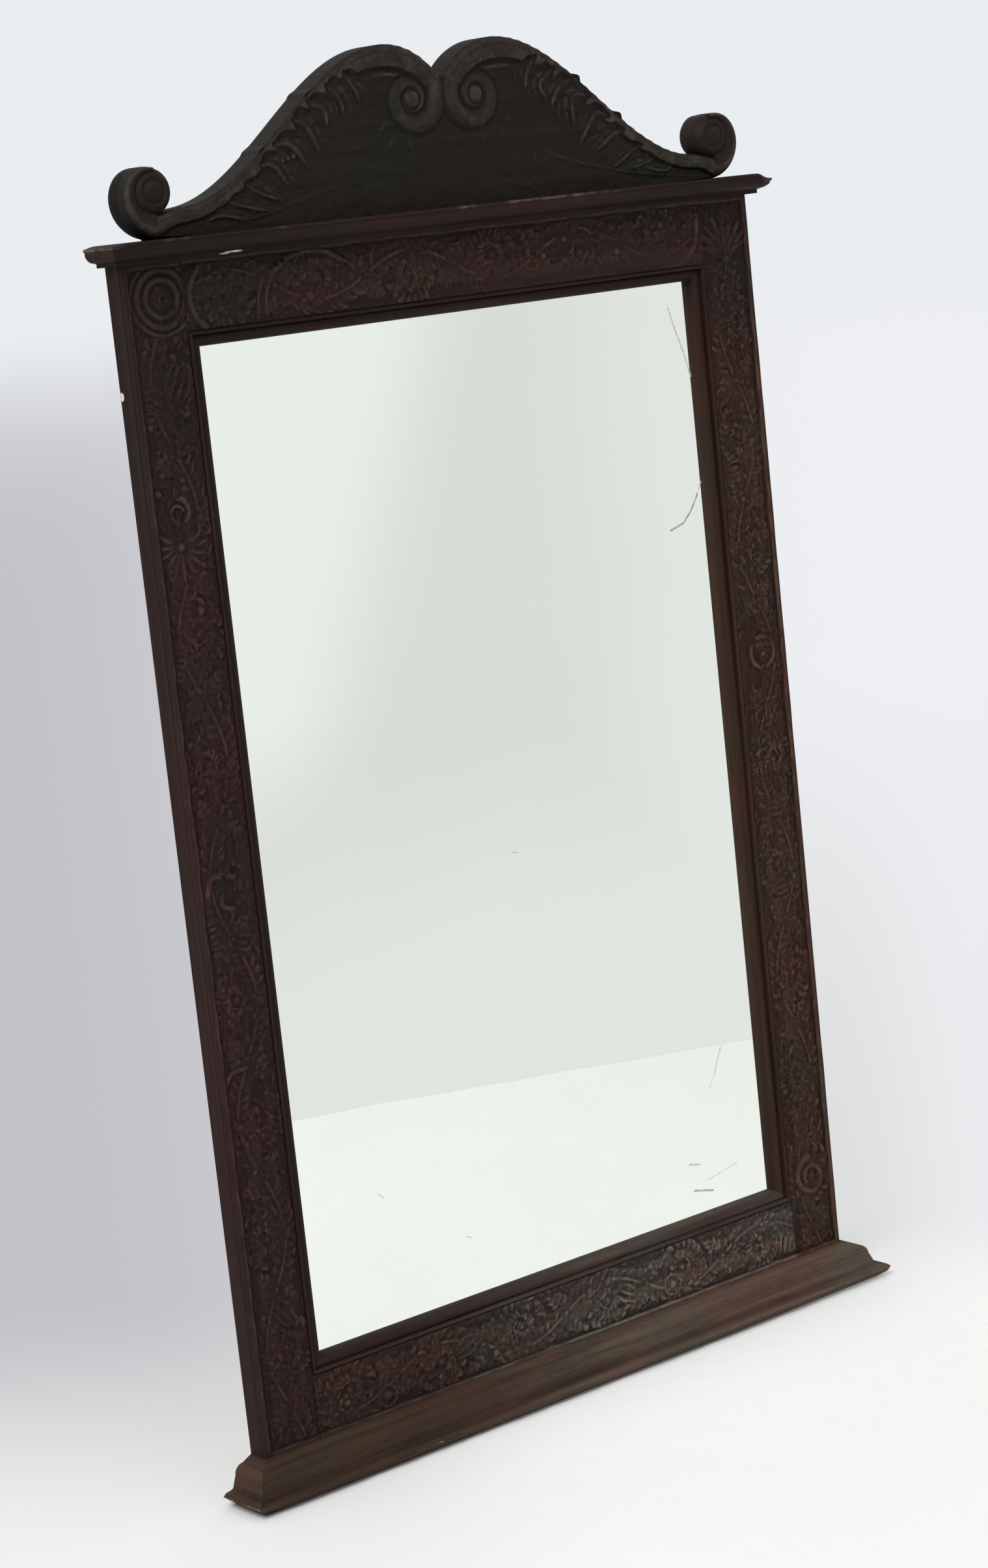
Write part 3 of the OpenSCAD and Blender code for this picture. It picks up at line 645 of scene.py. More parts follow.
def right_stile_ornament(relief, lay):
    running_scroll(relief, lay, -498, 456, 9, 17, -1, (5,))
    relief.ring(325, 86, 15, 2.6)
    relief.leaf(bend([(308, 100), (326, 92), (344, 104)]), 5.5)
    relief.flower(326, 84, 8.5, 6)
    for cut in ((332, 24, 12, 80, 5, 4.4, 1.8), (318, -28, 13, 90, 6, 5.2, 2), (312, 268, 15, 4, 3, 4.8, 2.1),
                (322, -68, 16, -6, 3, 4.6, 2), (324, -150, 18, 8, 4, 5, 2.1), (341, -395, 18, 62, 4, 5, 2.2)):
        relief.strokes(*cut)
    relief.leaf(bend([(322, -378), (334, -368), (346, -360)]), 5.5, 2)
    relief.volute(326, -446, 21, 100, 1.3, 4.4, 1)
    bosses = ((308, 322, 3.4), (318, 236, 3), (330, 22, 3.6), (306, -166, 4), (352, -322, 2.2), (316, 0, 2.6))
    holes = ((318, 446, 3), (334, 424, 2.4), (324, 140, 3.2), (315, -6, 2.2), (312, -112, 2.4), (344, -186, 2.2))
    return bosses, holes


SCROLL_X, CORNER_X, CORNER_Z, CORNER_FOOT = 323.6, 318.5, 494, 463
BORDER_X, BORDER_TOP, BORDER_FOOT = 350.5, 520.5, -519.5


def carve_stile(relief, side):
    """The stile's scroll, and its upper corner: ringed rosette at the left, fan at the right."""
    x, z = relief.x * side, relief.z
    lay = lambda p: np.stack([side * (SCROLL_X + p[:, 1]), p[:, 0]], 1)
    spots = (left_stile_ornament if side < 0 else right_stile_ornament)(relief, lay)
    relief.fill(lambda a, b: 60 if math.sin(b / 17) > 0 else -50)
    dotted(relief, *spots)
    c = side * CORNER_X
    if side < 0:
        relief.high[z > CORNER_FOOT] = 0.25
        relief.fill(lambda a, b: math.degrees(math.atan2(b - CORNER_Z, a - c)), 7.5, 0.38, 0.6)
        for radius, half in ((31.0, 1.9), (24.5, 3.2), (16.0, 2.6)):
            relief.ring(c, CORNER_Z, radius, half)
        relief.flower(c, CORNER_Z, 11.5, 8)
        dotted(relief, ((-309, 459, 4.2), (-341, 451, 2.8)), ((c + 1, CORNER_Z, 3.4),))
        relief.strokes(-300, 480, 14, 100, 3, 4.5, 1.8)
    else:
        relief.high[z > CORNER_FOOT] = 0.2
        relief.fan(c + 6, 466, 50, 92, 96, 9, 3.6)
        relief.fan(c + 6, 466, 30, 92, 70, 5, 3)
        relief.boss(c + 6, 466, 4.6)
        relief.fill(lambda a, b: 75, 7.0, 0.38, 0.6)
    roughened(relief)
    return margin_cut(relief, np.minimum.reduce([BORDER_X - x, BORDER_TOP - z, z - BORDER_FOOT]))


def top_rail_ornament(relief, lay):
    running_scroll(relief, lay, -300, 290, 6, 17.5)
    relief.stem(bend([(-277, 466), (-287, 478), (-290, 497), (-279, 517)]), 3.2, 2.4, 1.0)
    relief.leaf(bend([(-250, 470), (-236, 488), (-214, 506)]), 5.5)
    relief.stem(bend([(-205, 503), (-182, 517), (-150, 519), (-116, 502)], 40), 3, 2.4, 1.0)
    relief.leaf(bend([(-150, 486), (-160, 498), (-170, 512)]), 5.5)
    for shift in (0, 8):
        relief.stem(bend([(shift - 221, 468), (shift - 220, 484), (shift - 214, 500 - shift / 8)]), 2, 1.6, 0.9)
    relief.flower(126, 503, 12, 7)
    relief.strokes(30, 490, 20, 24, 3, 5, 2.1)
    relief.leaf(bend([(232, 482), (245, 497), (262, 508)]), 6)
    relief.stem(bend([(246, 466), (262, 467), (278, 474), (288, 487), (291, 506)], 30), 3.6, 2.6, 1.0)
    bosses = ((-165, 481, 4.6), (245, 505, 3.6), (125, 483, 3.4), (100, 490, 3.6), (-60, 500, 3.6), (188, 486, 3.6))
    holes = ((-232, 506, 2.8), (-178, 500, 2.6), (-120, 478, 2.8), (-20, 506, 2.8), (62, 480, 2.8), (150, 480, 2.6),
             (214, 510, 2.6))
    return bosses, holes


def bottom_rail_ornament(relief, lay):
    running_scroll(relief, lay, -306, 300, 6, 17.5)
    relief.ring(-217, -507, 10, 1.6, 0.75)
    relief.flower(-156, -508, 10, 6)
    relief.leaf(bend([(16, -508), (22, -490), (45, -468)]), 6)
    relief.ring(132, -503, 10, 1.6, 0.75)
    relief.leaf(bend([(212, -516), (216, -500), (214, -480)]), 6)
    for cut in ((280, -502, 20, 78, 4, 5, 2.1), (-120, -487, 26, 22, 3, 5, 2.1), (75, -495, 24, -30, 3, 5, 2.1)):
        relief.strokes(*cut)
    bosses = ((-217, -507, 5), (-90, -505, 4.2), (20, -514, 3.6), (132, -503, 4.6), (-262, -500, 4), (250, -490, 4))
    holes = ((-240, -500, 2.8), (-180, -490, 2.8), (-60, -500, 2.8), (-10, -484, 2.6), (100, -510, 2.8),
             (180, -496, 2.8))
    return bosses, holes


def carve_rail(relief, flip, low, high):
    """A rail's scroll between low and high. The top rail is rubbed almost flat towards its right."""
    x, z = relief.x, relief.z
    lay = lambda p: np.stack([p[:, 0], 0.5 * (low + high) + flip * p[:, 1]], 1)
    spots = (top_rail_ornament if flip > 0 else bottom_rail_ornament)(relief, lay)
    relief.fill(lambda a, b: 20 if math.sin(a / 15) > 0 else 160)
    dotted(relief, *spots)
    roughened(relief)
    if flip > 0:
        worn = ease(x, -60, 90) * (1 - ease(z, 470, 486)) * 0.75
        relief.high = relief.high + worn * (0.62 - relief.high)
    return margin_cut(relief, high - z if flip > 0 else z - low)


frame_stain = ((0.0085, 0.0036, 0.0028), (0.021, 0.0095, 0.0072), (0.050, 0.027, 0.020), (0.085, 0.048, 0.032))
# Colour darker and redder towards the frame's upper left corner; the other patches likewise darken a corner or an
# end.
darker_upper_left = (-357, 520, 90, 230, (0.62, 0.76, 0.74))
left_oak = oak("left_stile_oak", "z", frame_stain, 0.46, 0.5, (1.25, 1.10, 1.18), [darker_upper_left],
               [(-357, -8, 416, 2.4)])
right_oak = oak("right_stile_oak", "z", frame_stain, 0.46, 0.55, (2.05, 1.95, 1.60),
                [(330, 520, 60, 190, (0.50, 0.50, 0.60))])
rail_oak = oak("top_rail_oak", "x", frame_stain, 0.46, 0.5, (1.25, 1.12, 1.08), [darker_upper_left])
low_rail_oak = oak("low_rail_oak", "x", frame_stain, 0.44, 0.6, (3.7, 6.0, 6.8),
                   [(-330, -500, 120, 420, (0.40, 0.27, 0.23))])

STILE_X, RAIL_Z = SIGHT_X + SHOULDER, SIGHT_Z + SHOULDER
carved_member("left_stile", (-HALF_W, BOTTOM_Z), (-STILE_X, TOP_Z), left_oak, 11, carve_stile, -1)
carved_member("right_stile", (STILE_X, BOTTOM_Z), (HALF_W, TOP_Z), right_oak, 12, carve_stile, 1)
carved_member("top_rail", (-STILE_X, RAIL_Z), (STILE_X, TOP_Z), rail_oak, 13, carve_rail, 1, 465.3, 521.5)
carved_member("bottom_rail", (-STILE_X, BOTTOM_Z), (STILE_X, -RAIL_Z), low_rail_oak, 14, carve_rail, -1,
              BORDER_FOOT, -465.3)

# The cornice and the base: oak mouldings planed to their section, mitred at the corners and
# nailed to the frame. They are a little lighter than the frame, and their edges are worn.

CORNICE_Z, CORNICE_OUT, BASE_OUT = 524.5, 23.0, 35.0


def arc_points(cx, cz, rx, rz, a0, a1, count):
    angles = np.radians(np.linspace(a0, a1, count))
    return [(cx + rx * math.cos(a), cz + rz * math.sin(a)) for a in angles]


def fine_section(points, step=1.6):
    """The section's line with extra points on its straights."""
    line = []
    for (a, b), (c, d) in zip(points, points[1:] + points[:1]):
        count = max(1, int(math.hypot(c - a, d - b) / step))
        line += [(a + (c - a) * t, b + (d - b) * t) for t in np.arange(count) / count]
    return np.array(line)


def moulding(name, node, section, floor, run, worn, material, hollow):
    """Sweeps a section along one side. run is "front", "left" or "right"; worn moves the points
    where the wood is chipped or rubbed. hollow is the place of the section's cove and its size; there
    and along the joint with the frame the wood is darkened with painted shade."""
    line = fine_section(section)
    s = np.linspace(-1, 1, 430) if run == "front" else np.linspace(0, 1, 40)
    out, up, s = np.broadcast_arrays(line[:, 0][:, None], line[:, 1][:, None], s[None, :])
    if run == "front":
        x, y = s * (HALF_W + out), FACE_Y - out
    else:
        x = HALF_W + out if run == "right" else -(HALF_W + out)
        y = (FACE_Y - out) * (1 - s) + BACK_Y * s
    x, y, z, wear = worn(x, y, floor + up, out, up)
    # Painted shade along the joint with the frame and in the cove, in uneven patches.
    cove_and_joint_shade = np.exp(-(out / 2.2) ** 2) + np.exp(-((out - hollow[0]) ** 2 + (up - hollow[1]) ** 2) / hollow[2] ** 2)
    shade = 0.62 - 0.40 * np.clip(cove_and_joint_shade, 0, 1) * (0.6 + 0.6 * drift(s * 400, up, 26.0, 51))
    bm = bmesh.new()
    laid_grid(bm, x, y, z, wood_layers(bm), (shade, wear), True)
    bmesh.ops.remove_doubles(bm, verts=bm.verts, dist=1e-7)
    bmesh.ops.holes_fill(bm, edges=[e for e in bm.edges if e.is_boundary], sides=0)
    finished(bm, name, material, node, angle=38.0)


def edge_wear(x, y, z, out, reach, tip_out, seed):
    """Rubs the outermost edges back a little, unevenly, and tells how worn each point is."""
    run = np.where(np.abs(x) > HALF_W + 1, y, x)
    rub = drift(run, z, 7.0, seed) * 0.6 + drift(run, z, 29.0, seed + 1)
    proud = ease(out, tip_out - 3.0, tip_out)
    back = proud * reach * ease(rub, 0.7, 1.5)
    front = np.abs(y - (FACE_Y - out)) < 0.01
    moved_y = np.where(front, y + back * (out > 0.01), y)
    moved_x = np.where(front, x - np.sign(x) * back * (np.abs(x) > HALF_W), x - np.sign(x) * back)
    return moved_x, moved_y, proud * (0.35 + 0.5 * ease(rub, 0.6, 1.4))


def cornice_wear(x, y, z, out, up):
    x, y, wear = edge_wear(x, y, z, out, 1.1, CORNICE_OUT, 21)
    right = ease(x, HALF_W - 6, HALF_W + 20)
    left = ease(-x, HALF_W - 2, HALF_W + 22)
    tip = ease(out, 5.0, CORNICE_OUT)
    x = x - 8.5 * right * tip + 3.0 * left * tip
    z = z - (5.5 * right + 2.0 * left) * tip * ease(up, 4.0, 16.0) + 1.5 * right * tip * (1 - ease(up, 0.0, 8.0))
    return x, y, z, np.clip(wear + 0.5 * right + 0.3 * left, 0, 1)


def base_wear(x, y, z, out, up):
    x, y, wear = edge_wear(x, y, z, out, 1.5, BASE_OUT, 41)
    left = ease(-x, HALF_W - 4, HALF_W + 30)
    low, tip = 1 - ease(up, 2.0, 14.0), ease(out, 15, BASE_OUT)
    return x + 4.5 * left * low * tip, y + 2.5 * left * low * tip, z, np.clip(wear + 0.35 * left, 0, 1)


cornice_section = ([(0, 0), (8, 0), (8, 3.5), (12, 4.5)] + arc_points(12, 15.5, 9.5, 11, -90, 0, 14)[1:]
                   + [(CORNICE_OUT, 16.25), (CORNICE_OUT, 18.5), (0, 18.5)])
base_section = ([(0, 0), (23, 0), (31, 5), (BASE_OUT, 10), (31, 13)] + arc_points(26, 18, 4, 4, 250, 180, 6)
                + arc_points(10, 26, 9, 9, 0, 90, 14) + [(0, 40)])
cornice_stain = ((0.012, 0.0052, 0.0042), (0.030, 0.0145, 0.0115), (0.045, 0.024, 0.019), (0.10, 0.068, 0.052))
cornice_oak = oak("cornice_oak", "x", cornice_stain, 0.5, 0.42, (1.08, 0.88, 0.82),
                  [(-357, 530, 120, 300, (0.52, 0.66, 0.62)), (357, 530, 60, 260, (0.62, 0.58, 0.60))],
                  [(-246, -36.8, 526.3, 1.0), (-256, -36.8, 525.4, 0.7)])
base_stain = ((0.028, 0.016, 0.011), (0.058, 0.040, 0.029), (0.068, 0.050, 0.038), (0.125, 0.095, 0.072))
base_oak = oak("base_oak", "x", base_stain, 0.46, 0.55, (2.1, 2.15, 2.3),
               [(-380, -545, 120, 560, (0.42, 0.35, 0.29))],
               [(-203, -63.7, -553, 1.2), (-193, -63.7, -551.6, 1.1), (193, -63.7, -550.6, 0.8),
                (276, -63.7, -551, 0.6)])
end_stain = ((0.014, 0.0065, 0.005), (0.030, 0.016, 0.0125), (0.045, 0.026, 0.02), (0.12, 0.085, 0.066))
cornice_end_oak = oak("cornice_end_oak", "y", end_stain, 0.42)
base_end_oak = oak("base_end_oak", "y", base_stain, 0.42, 0.55, (1.1, 1.0, 0.95))
for part, section, floor, wear, front_oak, end_oak, hollow in (
        ("cornice", cornice_section, CORNICE_Z, cornice_wear, cornice_oak, cornice_end_oak, (10.0, 4.0, 3.0)),
        ("base", base_section, BOTTOM_Z, base_wear, base_oak, base_end_oak, (25.0, 15.5, 5.0))):
    moulding(part + "_front_worn", part + "_front", section, floor, "front", wear, front_oak, hollow)
    for side in ("left", "right"):
        moulding(f"{part}_{side}_worn", f"{part}_{side}_return", section, floor, side, wear, end_oak, hollow)

# The pediment: one thick oak board sawn to two humps with long arms, carved on its face, and
# stained nearly black. Each arm curls round a turned-looking eye, and is dowelled to the rail.

BOARD_FACE, CARVED = -35.0, 5.0
HUMP_Z, HUMP_X, HUMP_R, NOTCH = 146.0, 62.0, 72.0, 5.0
NECK_X, NECK_Z = 294.25, 24.5
EYE_X, EYE_Z = 317.75, 39.5
BAND_IN, BAND_OUT = 16.0, 30.0
FIELD_STEP = 0.75
COIL, COIL_X, COIL_Z, COIL_R = 0.138, 36.0, 97.0, 49.0


def hump_inside(x):
    return HUMP_Z - HUMP_R + np.sqrt(HUMP_R ** 2 - (HUMP_X - x) ** 2)


def arm_top(x):
    """Height of the pediment's outline above the cornice."""
    a = np.abs(x)
    t = np.clip((a - HUMP_X) / (NECK_X - HUMP_X), 0, 1)
    arm = NECK_Z + (HUMP_Z - NECK_Z) * (1 + np.cos(np.pi * t)) / 2
    top = np.where(a < HUMP_X, hump_inside(np.clip(a, NOTCH, HUMP_X)), arm)
    top = np.where(a < NOTCH, hump_inside(NOTCH) - 2 * (1 - a / NOTCH), top)
    return np.where(a > NECK_X, NECK_Z - (a - NECK_X) * 0.19, top)


def leaf_tips(x):
    """Small points of the leaves that stand above the sawn outline."""
    tips = np.zeros_like(x)
    for place, size, height in ((158, 9, 3.4), (204, 10, 3.6), (-150, 9, 1.6), (-205, 9, 1.4)):
        d = (x - place) * np.sign(place)
        tips = np.maximum(tips, height * np.where(d < 0, ease(d, -size, 0), 1 - ease(d, 0, 2.5)))
    return tips


def carve_pediment(relief, edge):
    rng, x, z = relief.rng, relief.x, relief.z
    relief.high = (0.12 + 0.10 * drift(x, z, 13.0, 32) + 0.16 * drift(x * 0.35, z, 4.2, 33)
                   + 0.08 * drift(x, z * 0.4, 3.0, 38))
    for side in (-1, 1):
        arm = side * x > 0
        width = np.interp(side * x, [0, 45, 60, 110, 200, 300, 320], [19, 20, 20, 16, 12, 14, 20])
        u = np.clip(edge / width, 0, 1)
        crown = 0.70 + 0.30 * np.sin(np.pi * u) ** 0.8 - 0.10 * bell(edge - 0.36 * width, 1.1)
        band = arm & (edge < width)
        relief.high[band] = crown[band]
        drop = arm & (edge >= width) & (edge < width + 2.0)
        relief.high[drop] = np.minimum(relief.high, 0.3 * (edge - width) / 2.0)[drop]
        inner = arm & (side * x < 92)
        second = 0.62 * np.exp(-((edge - width - 6.5) / 2.6) ** 4)
        fade = ease(92 - side * x, 0, 22) * ease(side * x, 30, 50)
        relief.high[inner] = np.maximum(relief.high, second * fade)[inner]
        blades = (((262, 13), (243, 17), (216, 10), 5.6), ((242, 24), (220, 22), (192, 10), 6.6),
                  ((224, 37), (204, 34), (180, 18), 7.6), ((206, 52), (184, 52), (166, 30), 8.6),
                  ((188, 68), (165, 70), (150, 44), 9.4), ((168, 86), (145, 86), (134, 58), 9.8),
                  ((148, 102), (126, 98), (120, 72), 9.6), ((128, 114), (108, 106), (104, 82), 9.0),
                  ((108, 123), (90, 112), (88, 92), 8.0))
        for k, (root, knee, tip, size) in enumerate(blades):
            sway = (rng.random((3, 2)) - 0.5) * ((3, 3), (7, 6), (14, 10))
            line = [(side * (px + a), pz + b) for (px, pz), (a, b) in zip((root, knee, tip), sway)]
            broad = size * (1.25 if k % 2 else 0.8) * (0.9 + 0.25 * rng.random())
            relief.leaf(bend(line, 20), broad, 2 + k % 2, 0.85 + 0.15 * rng.random(), 0.55, 1.6)
            curl = [line[0], (line[1][0] + side * 6, line[1][1] - 3), (line[2][0] + side * 9, line[2][1] + 3)]
            relief.blade(bend(curl, 12), size * (0.24 + 0.14 * rng.random()), 0.95, 1.2)
        for px, pz in ((-170, 57), (-176, 55.5), (-182, 54)) if side < 0 else ():
            relief.boss(px, pz, 2.4, 0.9)
        cx, cz = side * COIL_X, COIL_Z
        away = np.hypot(x - cx, z - cz)
        angle = np.degrees(np.arctan2(z - cz, side * (x - cx))) % 360
        # swept is counted from the crest, round by the notch and under to the eye
        swept = (angle - 90.0) % 360.0
        coil = np.log(COIL_R / np.maximum(away, 0.5)) / COIL
        lap = (coil - np.radians(swept)) / (2 * np.pi)
        share = lap - np.floor(lap)
        shrink = np.exp(-COIL * np.radians(swept))
        outer = COIL_R * shrink
        inside = (away < np.where(swept < 60, 20.6 * shrink, outer)) & (side * x > 0.4)
        height = 0.04 + 0.96 * np.clip(np.sin(np.pi * share), 0, 1) ** 0.6 * np.clip(away / 24.0, 0.72, 1.0)
        height = height - 0.06 * bell(share - 0.30, 0.06) * (away > 16)
        relief.high[inside] = height[inside]
        rim = (~inside) & (away < outer + 2.4) & (swept > 60) & (swept < 355) & (side * x > 0.4)
        relief.high[rim] = np.minimum(relief.high, 0.05 + 0.10 * (away - outer))[rim]
        relief.boss(cx, cz, 8.6, 1.0, 2.0)
        for px, pz, tx, tz, size in ((52, 66, 66, 56, 3.6), (58, 76, 76, 70, 4.0), (40, 64, 42, 52, 3.2)):
            middle = (side * (px + tx) / 2, (pz + tz) / 2 + 3)
            relief.blade(bend([(side * px, pz), middle, (side * tx, tz)], 10), size, 0.62, 1.0)
    relief.ring(105, 36.5, 7, 1.8, 0.5, 1.2)
    relief.stem(bend([(108, 43), (122, 36), (148, 28), (190, 18), (236, 10), (280, 5)], 40), 2.4, 1.1, 0.5, 1.2)
    relief.boss(87, 12.5, 2.6, 0.6)
    relief.stem(bend([(-98, 19), (-94, 25), (-101, 30), (-112, 30)], 16), 1.8, 2.0, 0.46, 1.1)
    relief.stem(bend([(-104, 30), (-138, 26), (-170, 19), (-205, 11), (-232, 7)], 36), 2.2, 1.0, 0.46, 1.2)
    relief.high += 0.10 * (drift(x, z, 3.0, 35) - 0.5)
    relief.soften(3)


def outline_away(x, z, line):
    """Distance of each point from the outline."""
    away = np.full(x.size, 1e9)
    p = np.stack([x.ravel(), z.ravel()], 1)
    for k in range(0, len(p), 4096):
        block = p[k:k + 4096]
        d = np.hypot(block[:, 0, None] - line[None, :, 0], block[:, 1, None] - line[None, :, 1])
        away[k:k + 4096] = d.min(1)
    return away.reshape(x.shape)


def joined_to(start):
    """Every point that can be reached along edges from the given ones."""
    found, fresh = set(start), list(start)
    while fresh:
        for e in fresh.pop().link_edges:
            for other in e.verts:
                if other not in found:
                    found.add(other)
                    fresh.append(other)
    return found


def scroll_end(bm, side, layers):
    """The band that carries an arm's edge round under the eye, and the round eye itself."""
    relief, wear = layers
    centre = Vector((side * EYE_X * MM, 0, (TOP_Z + EYE_Z) * MM))
    half = (BAND_OUT - BAND_IN) / 2
    loop = []
    for a in 2 * math.pi * np.arange(28) / 28:
        c, s = math.cos(a), math.sin(a)
        r = BAND_IN + half + half * math.copysign(abs(c) ** 0.62, c)
        y = -20.4 + 14.2 * math.copysign(abs(s) ** 0.42, s)
        loop.append(bm.verts.new((centre.x, y * MM, centre.z - r * MM)))
    face = bm.faces.new(loop)
    bmesh.ops.spin(bm, geom=[face, *face.edges, *face.verts], cent=centre, axis=(0, 1, 0),
                   angle=-side * math.radians(186), steps=44, use_duplicate=False)
    for v in joined_to(loop):
        dx, dz = (v.co.x - centre.x) / MM * side, (v.co.z - centre.z) / MM
        r = math.hypot(dx, dz)
        angle = math.degrees(math.atan2(dz, dx))
        reach = 20.5 + 19.0 * min(1.0, max(0.0, (90.0 - angle) / 180.0))
        wide = (r - BAND_IN) / (BAND_OUT - BAND_IN)
        new = BAND_IN + wide * (reach - BAND_IN)
        v.co.x, v.co.z = centre.x + (v.co.x - centre.x) * new / r, centre.z + (v.co.z - centre.z) * new / r
        # The band's ridge is lighter: rubbing wear, and painted highlight where it would catch the light.
        crown = bell(wide - 0.72, 0.16)
        if v.co.y < -0.022:
            v.co.y -= 0.0006 * crown
            v[relief] = EVEN + 0.45 * crown
            v[wear] = 0.75 * crown
    profile = [(0.02, -37.0), (3.0, -36.8), (6.5, -36.0), (9.0, -34.2), (10.4, -33.6), (11.6, -34.6)]
    profile += [(10.5 + 10.0 * math.cos(a), -24.2 - 11.2 * math.sin(a)) for a in np.radians(np.linspace(78, 0, 11))]
    profile += [(20.5, -16.0), (20.5, -9.0), (18.5, -6.2), (0.02, BACK_Y)]
    chain = [bm.verts.new((centre.x + r * MM, y * MM, centre.z)) for r, y in profile]
    edges = [bm.edges.new(pair) for pair in zip(chain[:-1], chain[1:])]
    bmesh.ops.spin(bm, geom=chain + edges, cent=centre, axis=(0, 1, 0), angle=2 * math.pi, steps=56,
                   use_merge=True, use_duplicate=False)
    eye = joined_to(chain)
    for v in eye:
        v[relief] = 0.6
        v[wear] = 0.35 * max(0.0, min(1.0, (v.co.y + 0.030) / -0.007))
    bmesh.ops.remove_doubles(bm, verts=[v for v in bm.verts if v in eye], dist=5e-5)


field_x, field_z = np.meshgrid(np.arange(-EYE_X - 1, EYE_X + 2, FIELD_STEP), np.arange(-1, HUMP_Z + 6, FIELD_STEP),
                               indexing="ij")
line_x = np.linspace(-EYE_X, EYE_X, 640)
edge_line = np.stack([line_x, arm_top(line_x)], 1)
field = Relief(field_x, field_z, 31)
carve_pediment(field, outline_away(field_x, field_z, edge_line))
columns = np.linspace(-EYE_X, EYE_X, 579)
rows = 1 - (1 - np.linspace(0, 1, 116)) ** 1.25
top = (arm_top(columns) + leaf_tips(columns))[:, None]
x, z = columns[:, None] + 0 * rows, top * rows
edge = outline_away(x, z, edge_line)
u, v = (x - field_x[0, 0]) / FIELD_STEP, (z - field_z[0, 0]) / FIELD_STEP
i, j = np.floor(u).astype(int), np.floor(v).astype(int)
u, v, carved = u - i, v - j, np.clip(field.high, 0, 1)


def at_board(values):
    """Reads the field's values at the board's own points."""
    low = values[i, j] * (1 - u) + values[i + 1, j] * u
    return low * (1 - v) + (values[i, j + 1] * (1 - u) + values[i + 1, j + 1] * u) * v


near_top = np.interp(np.abs(x), [0, 60, 150, 240, 300, 318], [7.0, 6.5, 4.5, 4.5, 8.0, 9.5])
near_foot = np.interp(np.abs(x), [0, 235, 290, 318], [0.8, 1.0, 6.5, 9.5])
drop = np.maximum(rounding(edge, np.minimum(near_top, 0.49 * top)), rounding(z, np.minimum(near_foot, 0.49 * top)))
y = BOARD_FACE + np.maximum(CARVED * (1 - at_board(carved)), drop) + 0.25 * (drift(x, z, 17.0, 36) - 0.5)
y = np.maximum(y, BOARD_FACE)
# A lighter band just inside the rounded top edge: wear, and painted highlight where the rounding catches the light.
wear = bell(edge - 4.0, 3.0) * 0.6 * (0.5 + 0.7 * drift(x, z, 25.0, 37)) * ease(edge, 0.0, 2.5)
# Painted shade in the cuts and painted highlight on the crests, even at the outline.
shade = 0.58 + (at_board(cuts_and_crests(carved, 1.8)) - 0.58) * ease(edge, 0.5, 3.0)
bm = bmesh.new()
layers = wood_layers(bm)
carved_slab(bm, x, y, z + TOP_Z, BACK_Y, layers, (shade, wear))
for side in (1, -1):
    scroll_end(bm, side, layers)
pediment_stain = ((0.0058, 0.0036, 0.0020), (0.0130, 0.0088, 0.0058), (0.055, 0.042, 0.035), (0.050, 0.038, 0.032))
black_oak = oak("black_stained_oak", "x", pediment_stain, 0.5, 0.35)
finished(bm, "pediment_carved", black_oak, "pediment", angle=50.0)

# The plate: 4 mm silvered glass, flat and not bevelled, held in its rebate by small blocks.
# It is slightly green, and a few old scratches have gone through to the silvering.

mirror = Finish("silvered_glass")
here = mirror.place()
across, height = mirror.part("X", here), mirror.part("Z", here)
ragged = mirror.noise(here, 240.0, 3.0)
scratches = 0.0
# Each scratch starts at a point x, z; every further point adds how wide and how deep it is.
for (x0, z0), *points in (
        ((256, 427), (263, 404, 0.9, 0.7), (270, 385, 1.1, 0.7), (277, 360, 1.0, 0.55)),
        ((277, 259), (271, 248, 0.8, 0.6), (261, 233, 1.1, 1.0), (250, 223, 1.2, 1.0), (233, 218, 1.3, 0.9)),
        ((241, -284), (232, -293, 1.2, 0.2), (222, -315, 1.3, 0.4), (214, -328, 1.3, 0.25)),
        ((179, -397), (191, -400, 1.3, 0.6)), ((240, -411), (201, -418, 1.1, 0.3)),
        ((181, -424), (206, -430, 1.3, 0.8)), ((0, -48), (8, -50, 0.8, 0.6)),
        ((-195, -324), (-188, -330, 0.8, 0.5)), ((-101, -391), (-94, -394, 0.8, 0.4))):
    for x1, z1, wide, deep in points:
        run = math.hypot(x1 - x0, z1 - z0)
        ux, uz = (x1 - x0) / run, (z1 - z0) / run
        t = ((across - x0 * MM) * ux + (height - z0 * MM) * uz).at_least(0.0).at_most(run * MM)
        off_x, off_z = across - (t * ux + x0 * MM), height - (t * uz + z0 * MM)
        away = (off_x * off_x + off_z * off_z) ** 0.5
        mark = (wide * MM * 0.9 - away + (ragged - 0.5) * wide * MM * 1.6).step(0.0, 0.0004)
        scratches = mark * deep + scratches
        x0, z0 = x1, z1
scratches = scratches.at_most(1.0)
haze = mirror.noise(mirror.place((1.0, 1.0, 0.6)), 6.0, 3.0)
specks = mirror.noise(here, 320.0, 2.0).step(0.74, 0.78)
tint = mirror.coats((0.92, 0.96, 0.91), (haze.step(0.3, 0.7), (0.93, 0.972, 0.92)),
                    (scratches * 0.8 + specks * 0.25, (0.16, 0.15, 0.13)))
mirror_finish = mirror.surface(tint, 0.012 + scratches * 0.45 + haze.step(0.5, 0.9) * 0.01,
                               mirror.bump(scratches * -1.0, 0.15, 0.0003), {"Metallic": 1.0 - scratches * 0.9})


def dress(node, material):
    """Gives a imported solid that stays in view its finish."""
    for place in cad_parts[node].material_slots:
        place.material = material


dress("mirror_plate", mirror_finish)

# The back: three thin pine boards nailed over the rebate, pine blocks behind the plate, oak
# pegs through the tenons, dowels under the pediment, and blackened iron nails.

JOINT_Z = 156.67


